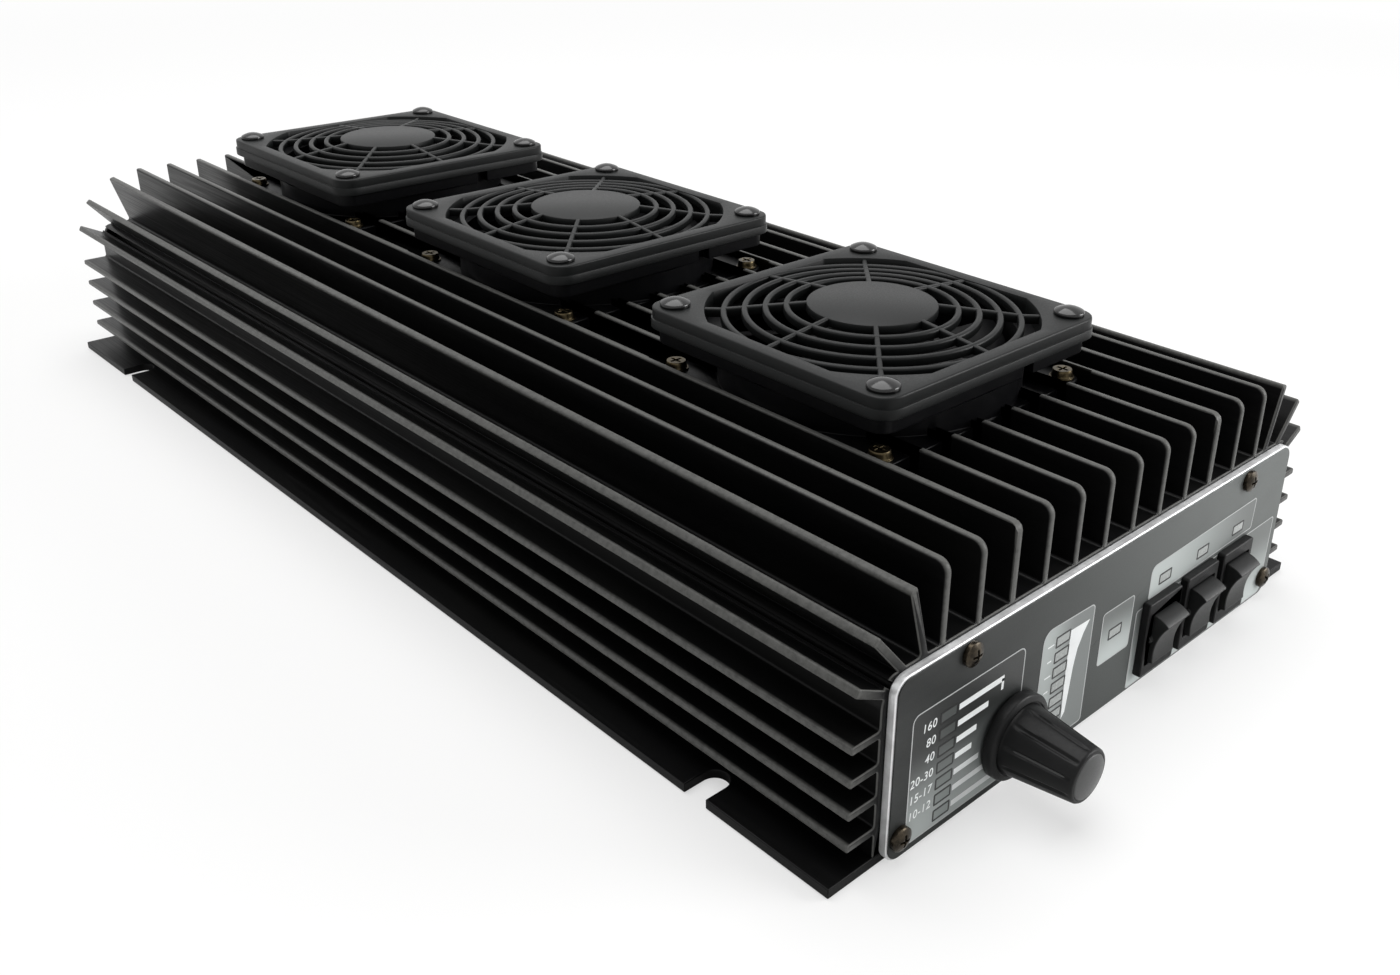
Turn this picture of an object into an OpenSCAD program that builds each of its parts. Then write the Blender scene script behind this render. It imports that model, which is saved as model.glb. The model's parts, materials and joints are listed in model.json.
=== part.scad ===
// Mobile HF linear amplifier: a finned aluminium housing with three axial fans on top,
// a front panel with a band knob, rocker switches and indicator windows, and a rear panel
// with coaxial sockets. Front is -Y, right is +X, and z = 0 is the underside.

/* [Housing] */
// Length of the finned extrusion, front to back
body_len = 400; // [340:1:490]
// Width over the side walls, without the fins
core_w = 163; // [156:0.5:200]
// Height of the top wall's outer face above the underside
core_top = 47; // [44:0.5:60]
// Thickness of the top wall
top_wall = 8; // [6:0.5:9]
// Thickness of the side walls above the screw bosses
side_wall = 7; // [5:0.5:9]
// Radius of the two outer top corners
corner_r = 8; // [6:0.5:8]
// Thickness of the base plate
base_t = 2.5; // [2:0.1:4]
// How far the base plate's mounting flanges stand out past the side walls
flange_w = 13.2; // [11:0.1:20]

/* [Fins] */
// Number of upright fins on top
fin_count = 12; // [8:2:12]
// Thickness of a fin
fin_t = 2; // [1.4:0.1:2.2]
// Height of the upright fins
fin_h = 19; // [17:0.5:24]
// Radius of the fins' front upper corners
fin_nose_r = 3; // [1:0.5:5]
// Number of level fins on each side
side_fin_count = 4; // [2:1:4]
// Depth of the side fins
side_fin_d = 8.2; // [4:0.1:10]

/* [Fans] */
// Side of the square fan
fan_size = 80; // [78:0.5:82]
// Distance between the fan's screw holes
fan_holes = 71.5; // [70:0.5:73]
// Thickness of the fan
fan_t = 15; // [12.5:0.5:18]
// Distance between fan centres
fan_pitch = 121; // [100:1:140]
// How far the finger guard stands out past the fan on each side
guard_lip = 2; // [0:0.5:5]
// Thickness of the finger guard
guard_t = 5.5; // [4:0.5:7]
// Number of blades on a rotor
blade_count = 7; // [5:1:9]

/* [Front panel] */
// Thickness of the front and rear panels
panel_t = 2; // [1.5:0.1:3]
// Radius of the panel's corners
panel_r = 4; // [1:0.5:6]
// Radius of the knob's collar
collar_r = 10.5; // [9.5:0.5:12]
// Distance from the panel's face to the knob's end
knob_len = 21; // [16:0.5:26]
// Radius of the band switch's shaft
shaft_r = 3; // [2.5:0.1:3.4]
// Width of a rocker switch's bezel
switch_w = 15; // [12.5:0.5:17]
// Height of a rocker switch's bezel
switch_h = 21; // [19:0.5:23]
// Gap between two rocker switches
switch_gap = 2.8; // [1:0.1:4]

/* [Rear panel] */
// Radius of the coaxial socket's thread
coax_r = 7.9; // [7:0.1:8.5]
// Radius of the hole through the cable gland
gland_bore_r = 4.2; // [3:0.1:5]

/* [Hidden] */
$fn = 64;
eps = 0.01;

// Housing
half_w = core_w / 2;
front_y = -body_len / 2;
rear_y = body_len / 2;
face_y = front_y - panel_t;
back_y = rear_y + panel_t;
under_top = core_top - top_wall;
boss_w = 10.4;
boss_top = 11;
base_w = core_w + 2 * flange_w;
slot_half = 3.5;
slot_depth = 5.8;
slot_inset = 40.5;
screw_r = 1.45;
thread_gap = 0.05;
screw_hole_r = screw_r + thread_gap;
pass_gap = 0.1;
screw_len = 9;
screw_hole_depth = 12;
base_screw_inset = 16;
base_screw_step = 120;
base_screw_ys = [
    front_y + base_screw_inset, front_y + base_screw_inset + base_screw_step,
    rear_y - base_screw_inset - base_screw_step, rear_y - base_screw_inset
];
wall_screw_inset = 5.2;
thread_depth = 5;

// Fins
fin_field = core_w - 24.4;
fin_pitch = fin_field / fin_count;
fin_top = core_top + fin_h;
side_fin_pitch = 8.1;
side_fin_z = 9.5;
side_fin_t = 1.8;
// Each corner fin: inset of its root from the side, drop from the top, angle and length
corner_fins = [[12.3, 0.2, 74.5, 17.9], [5.7, 0.4, 50.6, 13.2], [1.3, 4.4, 27.6, 9.8]];
channel_angle = 39;
channel_inset = 3.9;
channel_drop = 3.8;
channel_r = 1.9;
channel_lip_r = 3.6;
channel_mouth = 1.5;

// Fans
fan_r = fan_size / 2;
fan_seat = fin_top - 5.5;
fan_top = fan_seat + fan_t;
fan_ys = [-fan_pitch, 0, fan_pitch];
fan_hole_at = fan_holes / 2;
fan_flange_t = 3;
top_flange_t = 4.2;
lead_notch_x = 12;
lead_notch_w = 4;
lead_notch_d = 2.6;
fan_duct_r = fan_r - 0.2;
fan_bore_r = fan_r - 1.6;
fan_hub_r = 16.5;
stator_r = 13.5;
pocket_w = fan_size + 0.4;
pocket_len = fan_size + 4;
rotor_z0 = 3;
rotor_h = fan_t - 4;
blade_h = rotor_h - 1;
blade_tip_r = fan_bore_r - 1;
blade_chord = 21;
blade_curve_r = 20;
blade_t = 1.2;
spindle_r = 1.5;
spindle_gap = 0.05;
fan_screw_r = 1.7;
washer_r = 3.3;
washer_t = 0.5;
guard_w = fan_size + 2 * guard_lip;
guard_open_r = fan_r + 3;
guard_bar = 4.5;
ring_w = 1.7;
ring_h = 2.4;
web_top = guard_t - 0.4;
web_rise = 2.4;
web_flat_r = guard_open_r - 4;
ring_rs = [22, 27.4, 32.8, 38.1];
guard_disc_r = 17;
spoke_w = 1.4;
rivet_r = 4;
rivet_stem_r = 1.9;

// Front panel
panel_w = core_w - 3.2;
panel_h = core_top - 1;
panel_z0 = 0.4;
label_t = 0.3;
label_y = face_y - label_t;
panel_screws = [
    [-half_w + 24.4, core_top - 4], [half_w - 24.4, core_top - 4],
    [-half_w + wall_screw_inset, 6.4], [half_w - wall_screw_inset, 6.4]
];
knob_x = -half_w + 41.2;
knob_z = 14.4;
collar_h = 3;
knob_base_r = 8.4;
knob_tip_r = 6.5;
flute_count = 10;
flute_r = 0.45;
shaft_gap = 0.05;
bush_r = shaft_r + 0.9;
nut_r = bush_r + 2.1;
nut_t = 2;
knob_gap = 0.6;
knob_y = label_y - knob_gap;
cap_sink = 1;
knob_h = knob_len - knob_gap;
shaft_end_y = face_y - knob_len + 3;
cap_r = knob_tip_r - 1;
cap_h = 2;
cap_dome_r = 27;
window_w = 4.6;
window_h = 2.1;
window_r = 0.25;
band_x = -half_w + 18.8;
band_zs = [for (i = [0:6]) 5.4 + 4.22 * i];
level_x = -half_w + 59;
level_zs = [for (i = [0:6]) 5.8 + 4.15 * i];
status_z = 29.3;
switch_pitch = switch_w + switch_gap;
switch_xs = [for (i = [0:2]) half_w - 26.9 + switch_pitch * (i - 2)];
guard_led = [level_x + 0.66 * (switch_xs[0] - switch_w / 2 - level_x), 22.6];
status_dx = 1.6;
switch_z = 14.9;
bezel_t = 2.5;
bezel_y = face_y - bezel_t;
pivot_y = bezel_y + 0.5;
rocker_r = 6.9;
rocker_half_w = switch_w / 2 - 1.8;
rocker_tilt = 14;
rocker_corner = 60;
saddle_depth = 1.25;
pocket_gap = 0.3;
pin_r = 1;
pin_gap = 0.05;
switch_box_w = switch_w - 2;
switch_box_h = switch_h - 2;
switch_box_d = 17;

// Rear panel
coax_xs = [-half_w + 24, -half_w + 56];
coax_z = 22;
jack_x = half_w - 66;
jack_zs = [14, 30];
jack_r = 4.15;
gland_x = half_w - 24;
gland_z = 20;
// The gland stands out as far behind as the knob does in front
gland_len = knob_len + label_t + cap_h - cap_sink;
post_x = half_w - 44;
post_z = 12;

// Inside
board_t = 1.6;
board_gap = 4.6;
board_z = under_top - board_gap - board_t;
inner_board_w = core_w - 2 * side_wall - 17;
filter_board_len = 150;
filter_board_y = front_y + 36;
power_board_y = filter_board_y + filter_board_len + 24;
power_board_len = rear_y - 16 - power_board_y;
display_gap = 8;
display_y = front_y + display_gap;
spacer_r = 3;
spacer_inset = 8;
spacer_x = inner_board_w / 2 - 4;
spacer_spots = [
    for (sx = [-1, 1], y = [
        filter_board_y + spacer_inset, filter_board_y + filter_board_len - spacer_inset,
        power_board_y + spacer_inset, power_board_y + power_board_len - spacer_inset
    ]) [sx * spacer_x, y]
];
toroid_r = 6;
toroid_wire_r = 3.5;
toroid_pitch = inner_board_w / 5.2;
relay_pitch = inner_board_w / 7.6;
fuse_xs = [36, 52];
fuse_y = power_board_y + power_board_len - 24;
fuse_w = 5;
fuse_l = 19;
fuse_gap = 0.1;

function sag_radius(half_chord, sag) = (half_chord * half_chord + sag * sag) / (2 * sag);

module rod_y(r, len) {
    rotate([90, 0, 0]) cylinder(r = r, h = len);
}

module four_corners(d) {
    for (sx = [-1, 1]) {
        for (sy = [-1, 1]) {
            translate([sx * d, sy * d, 0]) children();
        }
    }
}

module rounded_square(w, h, r) {
    union() {
        translate([-w / 2 + r, -h / 2]) square([w - 2 * r, h]);
        translate([-w / 2, -h / 2 + r]) square([w, h - 2 * r]);
        for (sx = [-1, 1]) {
            for (sy = [-1, 1]) {
                translate([sx * (w / 2 - r), sy * (h / 2 - r)]) circle(r = r);
            }
        }
    }
}

// A plate standing in the XZ plane whose rear face is at y = 0
module upright_plate(w, h, r, t) {
    rotate([90, 0, 0]) linear_extrude(height = t) rounded_square(w, h, r);
}

// Housing

module slanted_fin(fin) {
    translate([half_w - fin[0], core_top - fin[1]])
        rotate(fin[2])
            translate([-2, -fin_t / 2])
                square([fin[3] + 2, fin_t]);
}

module half_profile() {
    translate([0, base_t]) square([half_w, core_top - corner_r - base_t]);
    translate([0, base_t]) square([half_w - corner_r, core_top - base_t]);
    translate([half_w - corner_r, core_top - corner_r]) circle(r = corner_r);
    for (i = [0:fin_count / 2 - 1]) {
        translate([(i + 0.5) * fin_pitch - fin_t / 2, core_top - 1]) square([fin_t, fin_h + 1]);
    }
    for (fin = corner_fins) {
        slanted_fin(fin);
    }
    for (i = [0:side_fin_count - 1]) {
        translate([half_w - 1, side_fin_z + side_fin_pitch * i - side_fin_t / 2])
            square([side_fin_d + 1, side_fin_t]);
    }
    translate([half_w - channel_inset, core_top - channel_drop]) circle(r = channel_lip_r);
}

module half_hollow() {
    translate([-1, base_t - 1]) square([half_w - boss_w + 1, under_top - base_t + 1]);
    translate([0, boss_top]) square([half_w - side_wall, under_top - boss_top]);
    translate([half_w - channel_inset, core_top - channel_drop]) {
        circle(r = channel_r);
        rotate(channel_angle) translate([0, -channel_mouth / 2]) square([2 * channel_lip_r, channel_mouth]);
    }
}

module housing_profile() {
    for (side = [0, 1]) {
        mirror([side, 0]) {
            difference() {
                half_profile();
                half_hollow();
            }
        }
    }
}

// Cuts the front upper corners of the top fins to a round nose
module fin_nose_cut() {
    nose_w = core_w + 40;
    difference() {
        translate([-nose_w / 2, front_y - 1, fin_top - fin_nose_r])
            cube([nose_w, fin_nose_r + 1, fin_nose_r + 1]);
        translate([-nose_w / 2 - 1, front_y + fin_nose_r, fin_top - fin_nose_r])
            rotate([0, 90, 0])
                cylinder(r = fin_nose_r, h = nose_w + 2);
    }
}

module heatsink() {
    color("dimgray")
    difference() {
        translate([0, rear_y, 0]) rotate([90, 0, 0]) linear_extrude(height = body_len) housing_profile();
        fin_nose_cut();
        for (y = fan_ys) {
            translate([-pocket_w / 2, y - pocket_len / 2, fan_seat]) cube([pocket_w, pocket_len, fin_h]);
            translate([0, y, core_top - thread_depth - 1])
                four_corners(fan_hole_at)
                    cylinder(r = fan_screw_r + thread_gap, h = fan_seat - core_top + thread_depth + 2);
        }
        for (p = panel_screws) {
            translate([p[0], front_y + screw_hole_depth, p[1]]) rod_y(screw_hole_r, screw_hole_depth + 1);
            translate([p[0], rear_y + 1, p[1]]) rod_y(screw_hole_r, screw_hole_depth + 1);
        }
        for (side = [-1, 1]) {
            for (y = base_screw_ys) {
                translate([side * (half_w - wall_screw_inset), y, base_t - 1])
                    cylinder(r = screw_hole_r, h = 7);
            }
        }
    }
}

module flange_slot() {
    translate([slot_depth, 0, 0]) cylinder(r = slot_half, h = base_t + 2);
    translate([-1, -slot_half, 0]) cube([slot_depth + 1, 2 * slot_half, base_t + 2]);
}

module base_plate() {
    color("dimgray")
    difference() {
        translate([-base_w / 2, front_y, 0]) cube([base_w, body_len, base_t]);
        for (sy = [-1, 1]) {
            translate([-base_w / 2, sy * (rear_y - slot_inset), -1]) flange_slot();
            translate([base_w / 2, sy * (rear_y - slot_inset), -1]) mirror([1, 0, 0]) flange_slot();
        }
        for (side = [-1, 1]) {
            for (y = base_screw_ys) {
                translate([side * (half_w - wall_screw_inset), y, 0]) {
                    translate([0, 0, -1]) cylinder(r = screw_hole_r + pass_gap, h = base_t + 2);
                    translate([0, 0, -eps]) cylinder(r1 = 3.1, r2 = 1.5, h = 1.6);
                }
            }
        }
    }
}

module countersunk_screw() {
    cylinder(r1 = 2.9, r2 = screw_r, h = 1.45);
    cylinder(r = screw_r, h = 7.5);
}

module base_screws() {
    color("silver")
    for (side = [-1, 1]) {
        for (y = base_screw_ys) {
            translate([side * (half_w - wall_screw_inset), y, 0.15]) countersunk_screw();
        }
    }
}

// A round-headed screw whose seat is at y = 0 and whose shank runs towards +Y
module panel_screw() {
    difference() {
        union() {
            translate([0, screw_len, 0]) rod_y(screw_r, screw_len);
            rotate([90, 0, 0])
                rotate_extrude()
                    intersection() {
                        translate([0, -3.1]) circle(r = 5.1);
                        square([2.9, 2.4]);
                    }
        }
        for (turn = [0, 90]) {
            rotate([0, turn, 0]) translate([-1.5, -3, -0.3]) cube([3, 2, 0.6]);
        }
    }
}

module front_screw(i) {
    color([0.2, 0.17, 0.14])
    translate([panel_screws[i][0], label_y, panel_screws[i][1]]) panel_screw();
}

module rear_screws() {
    color([0.2, 0.17, 0.14])
    for (p = panel_screws) {
        translate([p[0], back_y, p[1]]) rotate([0, 0, 180]) panel_screw();
    }
}

// Front panel

module window_cut(x, z, grow) {
    translate([x, face_y + panel_t + 1, z])
        upright_plate(window_w + 2 * grow, window_h + 2 * grow, window_r + grow, panel_t + label_t + 2);
}

module all_window_cuts(grow) {
    for (z = band_zs) {
        window_cut(band_x, z, grow);
    }
    for (z = level_zs) {
        window_cut(level_x, z, grow);
    }
    for (x = switch_xs) {
        window_cut(x + status_dx, status_z, grow);
    }
    window_cut(guard_led[0], guard_led[1], grow);
}

module panel_cuts(screw_hole) {
    for (p = panel_screws) {
        translate([p[0], front_y + 1, p[1]]) rod_y(screw_hole, panel_t + label_t + 2);
    }
    translate([knob_x, front_y + 1, knob_z]) rod_y(bush_r + 0.1, panel_t + label_t + 2);
    for (x = switch_xs) {
        translate([x - switch_box_w / 2 - 0.1, label_y - 1, switch_z - switch_box_h / 2 - 0.1])
            cube([switch_box_w + 0.2, panel_t + label_t + 2, switch_box_h + 0.2]);
    }
}

module front_panel() {
    color("silver")
    difference() {
        translate([0, front_y, panel_z0 + panel_h / 2]) upright_plate(panel_w, panel_h, panel_r, panel_t);
        panel_cuts(screw_hole_r + pass_gap);
        all_window_cuts(0.1);
    }
}

module front_label() {
    color([0.45, 0.46, 0.47])
    difference() {
        translate([0, face_y, panel_z0 + panel_h / 2])
            upright_plate(panel_w - 1, panel_h - 1, panel_r - 0.5, label_t);
        panel_cuts(screw_hole_r + pass_gap);
        all_window_cuts(0.1);
    }
}

// Light guides that stand through the panel on a shared strip behind it
module light_guides(points, strip_w, strip_h) {
    for (p = points) {
        translate([p[0], front_y + 1, p[1]])
            upright_plate(window_w - 0.1, window_h - 0.1, window_r, panel_t + label_t + 1);
    }
    low = points[0];
    high = points[len(points) - 1];
    translate([(low[0] + high[0]) / 2, front_y + 2, (low[1] + high[1]) / 2])
        upright_plate(strip_w, strip_h, 0.8, 2);
}

module band_windows() {
    color([0.75, 0.8, 0.78])
    light_guides([for (z = band_zs) [band_x, z]], 7, 30);
}

module level_windows() {
    color([0.8, 0.82, 0.8])
    light_guides([for (z = level_zs) [level_x, z]], 7, 30);
}

module status_windows() {
    color([0.8, 0.82, 0.8]) {
        light_guides([for (x = switch_xs) [x + status_dx, status_z]], 2 * switch_pitch + 8, 5);
        light_guides([guard_led], 8, 5);
        translate([guard_led[0], front_y, status_z - 2.5]) cube([switch_xs[0] - guard_led[0], 2, 5]);
        translate([guard_led[0] - 3, front_y, guard_led[1]]) cube([6, 2, status_z - guard_led[1] + 2.5]);
    }
}

module display_board() {
    color("darkgreen")
    difference() {
        translate([-half_w + 13, display_y, 3.5]) cube([54, board_t, 32.5]);
        translate([knob_x, display_y + board_t + 1, knob_z]) rod_y(9.6, board_t + 2);
    }
    color([0.75, 0.8, 0.78])
    for (x = [band_x, level_x]) {
        translate([x - 3, front_y + 2, 4]) cube([6, 6, 28]);
    }
}

module band_switch() {
    color("lightgray")
    difference() {
        union() {
            translate([knob_x, front_y, knob_z]) rod_y(bush_r, panel_t + label_t + 3);
            translate([knob_x, front_y + 22, knob_z]) rod_y(9, 22);
        }
        translate([knob_x, front_y + 18, knob_z]) rod_y(shaft_r + shaft_gap, 30);
    }
}

module switch_nut() {
    color("silver")
    translate([knob_x, label_y, knob_z])
        difference() {
            rotate([90, 0, 0]) cylinder(r = nut_r, h = nut_t, $fn = 6);
            translate([0, 1, 0]) rod_y(bush_r, 4);
        }
}

module band_shaft() {
    color("silver")
    translate([knob_x, front_y + 16, knob_z]) rod_y(shaft_r, front_y + 16 - shaft_end_y);
}

module band_knob() {
    color([0.13, 0.13, 0.14])
    translate([knob_x, knob_y, knob_z])
        difference() {
            rotate([90, 0, 0]) rotate_extrude() knob_profile();
            translate([0, 1, 0]) rod_y(shaft_r, knob_y - shaft_end_y + 1);
            translate([0, 1, 0]) rod_y(nut_r + 1, nut_t + 2);
            for (i = [0:flute_count - 1]) {
                rotate([0, 180 + i * 360 / flute_count, 0]) knob_flute();
            }
            translate([0, -knob_h + cap_sink, 0]) rod_y(cap_r, cap_sink + 1);
        }
}

module knob_profile() {
    polygon([
        [0, 0], [collar_r - 0.3, 0], [collar_r, 0.4], [collar_r - 0.4, collar_h - 0.8],
        [collar_r - 1.2, collar_h], [knob_base_r + 0.6, collar_h], [knob_base_r, collar_h + 0.8],
        [knob_tip_r, knob_h - 0.3], [knob_tip_r - 0.3, knob_h], [0, knob_h]
    ]);
}

module knob_flute() {
    taper = atan((knob_base_r - knob_tip_r) / (knob_len - collar_h));
    translate([knob_base_r + 0.1, -collar_h - 1.6, 0])
        rotate([0, 0, -taper])
            rod_y(flute_r, knob_len);
}

module knob_cap() {
    color([0.42, 0.43, 0.43])
    translate([knob_x, knob_y - knob_h + cap_sink, knob_z])
        rotate([90, 0, 0])
            rotate_extrude()
                intersection() {
                    translate([0, cap_h - cap_dome_r]) circle(r = cap_dome_r, $fn = 160);
                    square([cap_r, cap_h]);
                }
}

module switch_body(i) {
    color([0.09, 0.09, 0.1])
    difference() {
        union() {
            translate([switch_xs[i], label_y, switch_z])
                upright_plate(switch_w, switch_h, 0.8, bezel_t - label_t);
            translate([switch_xs[i] - switch_box_w / 2, label_y, switch_z - switch_box_h / 2])
                cube([switch_box_w, switch_box_d, switch_box_h]);
            for (dz = [-5.5, 0, 5.5]) {
                translate([switch_xs[i] - 2.4, label_y, switch_z + dz - 0.4])
                    cube([4.8, switch_box_d + 8, 0.8]);
            }
        }
        translate([switch_xs[i] - rocker_half_w - pocket_gap, pivot_y, switch_z])
            rotate([0, 90, 0])
                cylinder(r = rocker_r + pocket_gap, h = 2 * (rocker_half_w + pocket_gap));
        translate([switch_xs[i] - rocker_half_w - 1.1, pivot_y, switch_z])
            rotate([0, 90, 0])
                cylinder(r = pin_r + pin_gap, h = 2 * (rocker_half_w + 1.1));
    }
}

// A rocker with a hollowed face, pivoting on two stub pins
module rocker(i) {
    corner_out = rocker_r * cos(rocker_corner);
    corner_up = rocker_r * sin(rocker_corner);
    saddle_r = sag_radius(corner_up, saddle_depth);
    color([0.16, 0.16, 0.17])
    translate([switch_xs[i], pivot_y, switch_z])
        rotate([rocker_tilt, 0, 0]) {
            difference() {
                translate([-rocker_half_w, 0, 0])
                    rotate([0, 90, 0])
                        cylinder(r = rocker_r, h = 2 * rocker_half_w);
                translate([-rocker_half_w - 1, -corner_out + saddle_depth - saddle_r, 0])
                    rotate([0, 90, 0])
                        cylinder(r = saddle_r, h = 2 * rocker_half_w + 2, $fn = 160);
            }
            translate([-rocker_half_w - 1, 0, 0])
                rotate([0, 90, 0])
                    cylinder(r = pin_r, h = 2 * (rocker_half_w + 1));
        }
}

// Fans

module fan_flange(t) {
    linear_extrude(height = t) rounded_square(fan_size, fan_size, 4.5);
}

module fan_frame(k) {
    color([0.08, 0.08, 0.09])
    translate([0, fan_ys[k], fan_seat])
        difference() {
            union() {
                difference() {
                    union() {
                        fan_flange(fan_flange_t);
                        translate([0, 0, fan_t - top_flange_t]) fan_flange(top_flange_t);
                        cylinder(r = fan_duct_r, h = fan_t);
                    }
                    translate([0, 0, -1]) cylinder(r = fan_bore_r, h = fan_t + 2);
                }
                cylinder(r = fan_hub_r, h = 2);
                for (turn = [20, 110, 200, 290]) {
                    rotate(turn) translate([0, -1.5, 0]) cube([fan_bore_r + 0.5, 3, 2]);
                }
                cylinder(r = stator_r, h = fan_t - 5);
            }
            translate([0, 0, 2]) cylinder(r = spindle_r + spindle_gap, h = fan_t);
            translate([0, 0, -1]) four_corners(fan_hole_at) cylinder(r = 2.2, h = fan_t + 2);
            // The notch where the lead leaves through the top flange
            translate([lead_notch_x, -fan_r - 1, fan_t - top_flange_t - eps])
                cube([lead_notch_w, lead_notch_d + 1, top_flange_t + 1]);
        }
}

module fan_blade() {
    mid_z = blade_h / 2;
    chord_len = norm([blade_chord, blade_h]);
    drop = sqrt(blade_curve_r * blade_curve_r - chord_len * chord_len / 4);
    intersection() {
        difference() {
            cylinder(r = blade_tip_r, h = blade_h);
            translate([0, 0, -1]) cylinder(r = fan_hub_r - 1, h = blade_h + 2);
        }
        translate([fan_hub_r - 2, -blade_chord / 2, 0]) cube([blade_tip_r, blade_chord, blade_h]);
        translate([0, drop * blade_h / chord_len, mid_z - drop * blade_chord / chord_len])
            rotate([0, 90, 0])
                difference() {
                    cylinder(r = blade_curve_r + blade_t / 2, h = blade_tip_r + 1);
                    translate([0, 0, -1]) cylinder(r = blade_curve_r - blade_t / 2, h = blade_tip_r + 3);
                }
    }
}

module fan_rotor(k) {
    color([0.1, 0.1, 0.12])
    translate([0, fan_ys[k], fan_seat + rotor_z0]) {
        difference() {
            cylinder(r = fan_hub_r, h = rotor_h);
            translate([0, 0, -1]) cylinder(r = stator_r + 1, h = rotor_h - 1);
        }
        cylinder(r = spindle_r, h = rotor_h);
        for (i = [0:blade_count - 1]) {
            rotate(i * 360 / blade_count) fan_blade();
        }
    }
}

module guard_ring(r) {
    difference() {
        circle(r = r + ring_w / 2);
        circle(r = r - ring_w / 2);
    }
}

module guard_web() {
    circle(r = guard_disc_r);
    for (r = ring_rs) {
        guard_ring(r);
    }
    for (i = [0:7]) {
        spoke_end = i % 2 == 0 ? guard_w / 2 - 1 : guard_open_r + 1;
        rotate(i * 45)
            translate([guard_disc_r - 1, -spoke_w / 2])
                square([spoke_end - guard_disc_r + 1, spoke_w]);
    }
}

// The shallow cone that the rings and spokes follow up to the raised disc
module guard_dome() {
    web_low = web_top - ring_h;
    rotate_extrude()
        polygon([
            [0, web_low + web_rise], [guard_disc_r, web_low + web_rise],
            [web_flat_r, web_low], [guard_open_r + 2, web_low], [guard_open_r + 2, web_top],
            [web_flat_r, web_top], [guard_disc_r, web_top + web_rise], [0, web_top + web_rise]
        ]);
}

module fan_guard(k) {
    color([0.07, 0.07, 0.08])
    translate([0, fan_ys[k], fan_top])
        difference() {
            union() {
                difference() {
                    linear_extrude(height = guard_t) rounded_square(guard_w, guard_w, 6);
                    intersection() {
                        translate([0, 0, -1]) cylinder(r = guard_open_r, h = guard_t + 2);
                        translate([-guard_w / 2 + guard_bar, -guard_w / 2 + guard_bar, -1])
                            cube([guard_w - 2 * guard_bar, guard_w - 2 * guard_bar, guard_t + 2]);
                    }
                }
                intersection() {
                    linear_extrude(height = web_top + web_rise + 1) guard_web();
                    guard_dome();
                }
            }
            translate([0, 0, -1]) four_corners(fan_hole_at) cylinder(r = rivet_stem_r + 0.1, h = guard_t + 2);
        }
}

module guard_rivet() {
    translate([0, 0, -top_flange_t - guard_t - 0.6])
        cylinder(r = rivet_stem_r, h = top_flange_t + guard_t + 1);
    rotate_extrude()
        intersection() {
            translate([0, -5.07]) circle(r = 7.27);
            square([rivet_r, 3]);
        }
}

module guard_rivets(k) {
    color([0.09, 0.09, 0.1])
    translate([0, fan_ys[k], fan_top + guard_t]) four_corners(fan_hole_at) guard_rivet();
}

module fan_screw() {
    cylinder(r = washer_r, h = washer_t);
    translate([0, 0, washer_t])
        difference() {
            cylinder(r1 = 2.9, r2 = 2.5, h = 1.9);
            for (turn = [0, 90]) {
                rotate(turn) translate([-1.7, -0.35, 0.8]) cube([3.4, 0.7, 2]);
            }
        }
    translate([0, 0, core_top - thread_depth - fan_seat - fan_flange_t])
        cylinder(r = fan_screw_r, h = fan_seat + fan_flange_t - core_top + thread_depth + 0.5);
}

module fan_screws(k) {
    color([0.75, 0.65, 0.35])
    translate([0, fan_ys[k], fan_seat + fan_flange_t]) four_corners(fan_hole_at) fan_screw();
}

// Rear panel

module rear_panel() {
    color([0.2, 0.2, 0.21])
    difference() {
        translate([0, back_y, panel_z0 + panel_h / 2]) upright_plate(panel_w, panel_h, panel_r, panel_t);
        for (p = panel_screws) {
            translate([p[0], back_y + 1, p[1]]) rod_y(screw_hole_r + pass_gap, panel_t + 2);
        }
        for (x = coax_xs) {
            translate([x, back_y + 1, coax_z]) rod_y(7.5, panel_t + 2);
        }
        for (z = jack_zs) {
            translate([jack_x, back_y + 1, z]) rod_y(3.6, panel_t + 2);
        }
        translate([gland_x, back_y + 1, gland_z]) rod_y(8.1, panel_t + 2);
        translate([post_x, back_y + 1, post_z]) rod_y(2.1, panel_t + 2);
    }
}

module coax_socket(i) {
    color("silver")
    translate([coax_xs[i], back_y, coax_z])
        difference() {
            union() {
                translate([0, 2, 0]) upright_plate(25.4, 25.4, 2, 2);
                translate([0, 18, 0]) rod_y(coax_r, 17);
                rod_y(7.3, 6);
            }
            translate([0, 19, 0]) rod_y(6.2, 14);
            translate([0, 6, 0]) rod_y(4.2, 14);
        }
}

module coax_core(i) {
    color("ivory")
    translate([coax_xs[i], back_y, coax_z])
        difference() {
            union() {
                translate([0, 6, 0]) rod_y(4.2, 13);
                translate([0, 11, 0]) rod_y(5.6, 6);
                translate([0, -7, 0]) rod_y(1.8, 4);
            }
            translate([0, 12, 0]) rod_y(2, 10);
        }
}

module control_jacks() {
    color("silver")
    for (z = jack_zs) {
        translate([jack_x, back_y, z])
            difference() {
                union() {
                    translate([0, 2, 0]) rotate([90, 0, 0]) cylinder(r = 6.2, h = 2, $fn = 6);
                    translate([0, 9.5, 0]) rod_y(jack_r, 9);
                    translate([0, 1, 0]) rod_y(3.5, 9);
                }
                translate([0, 10.5, 0]) rod_y(1.6, 8);
            }
    }
}

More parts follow.
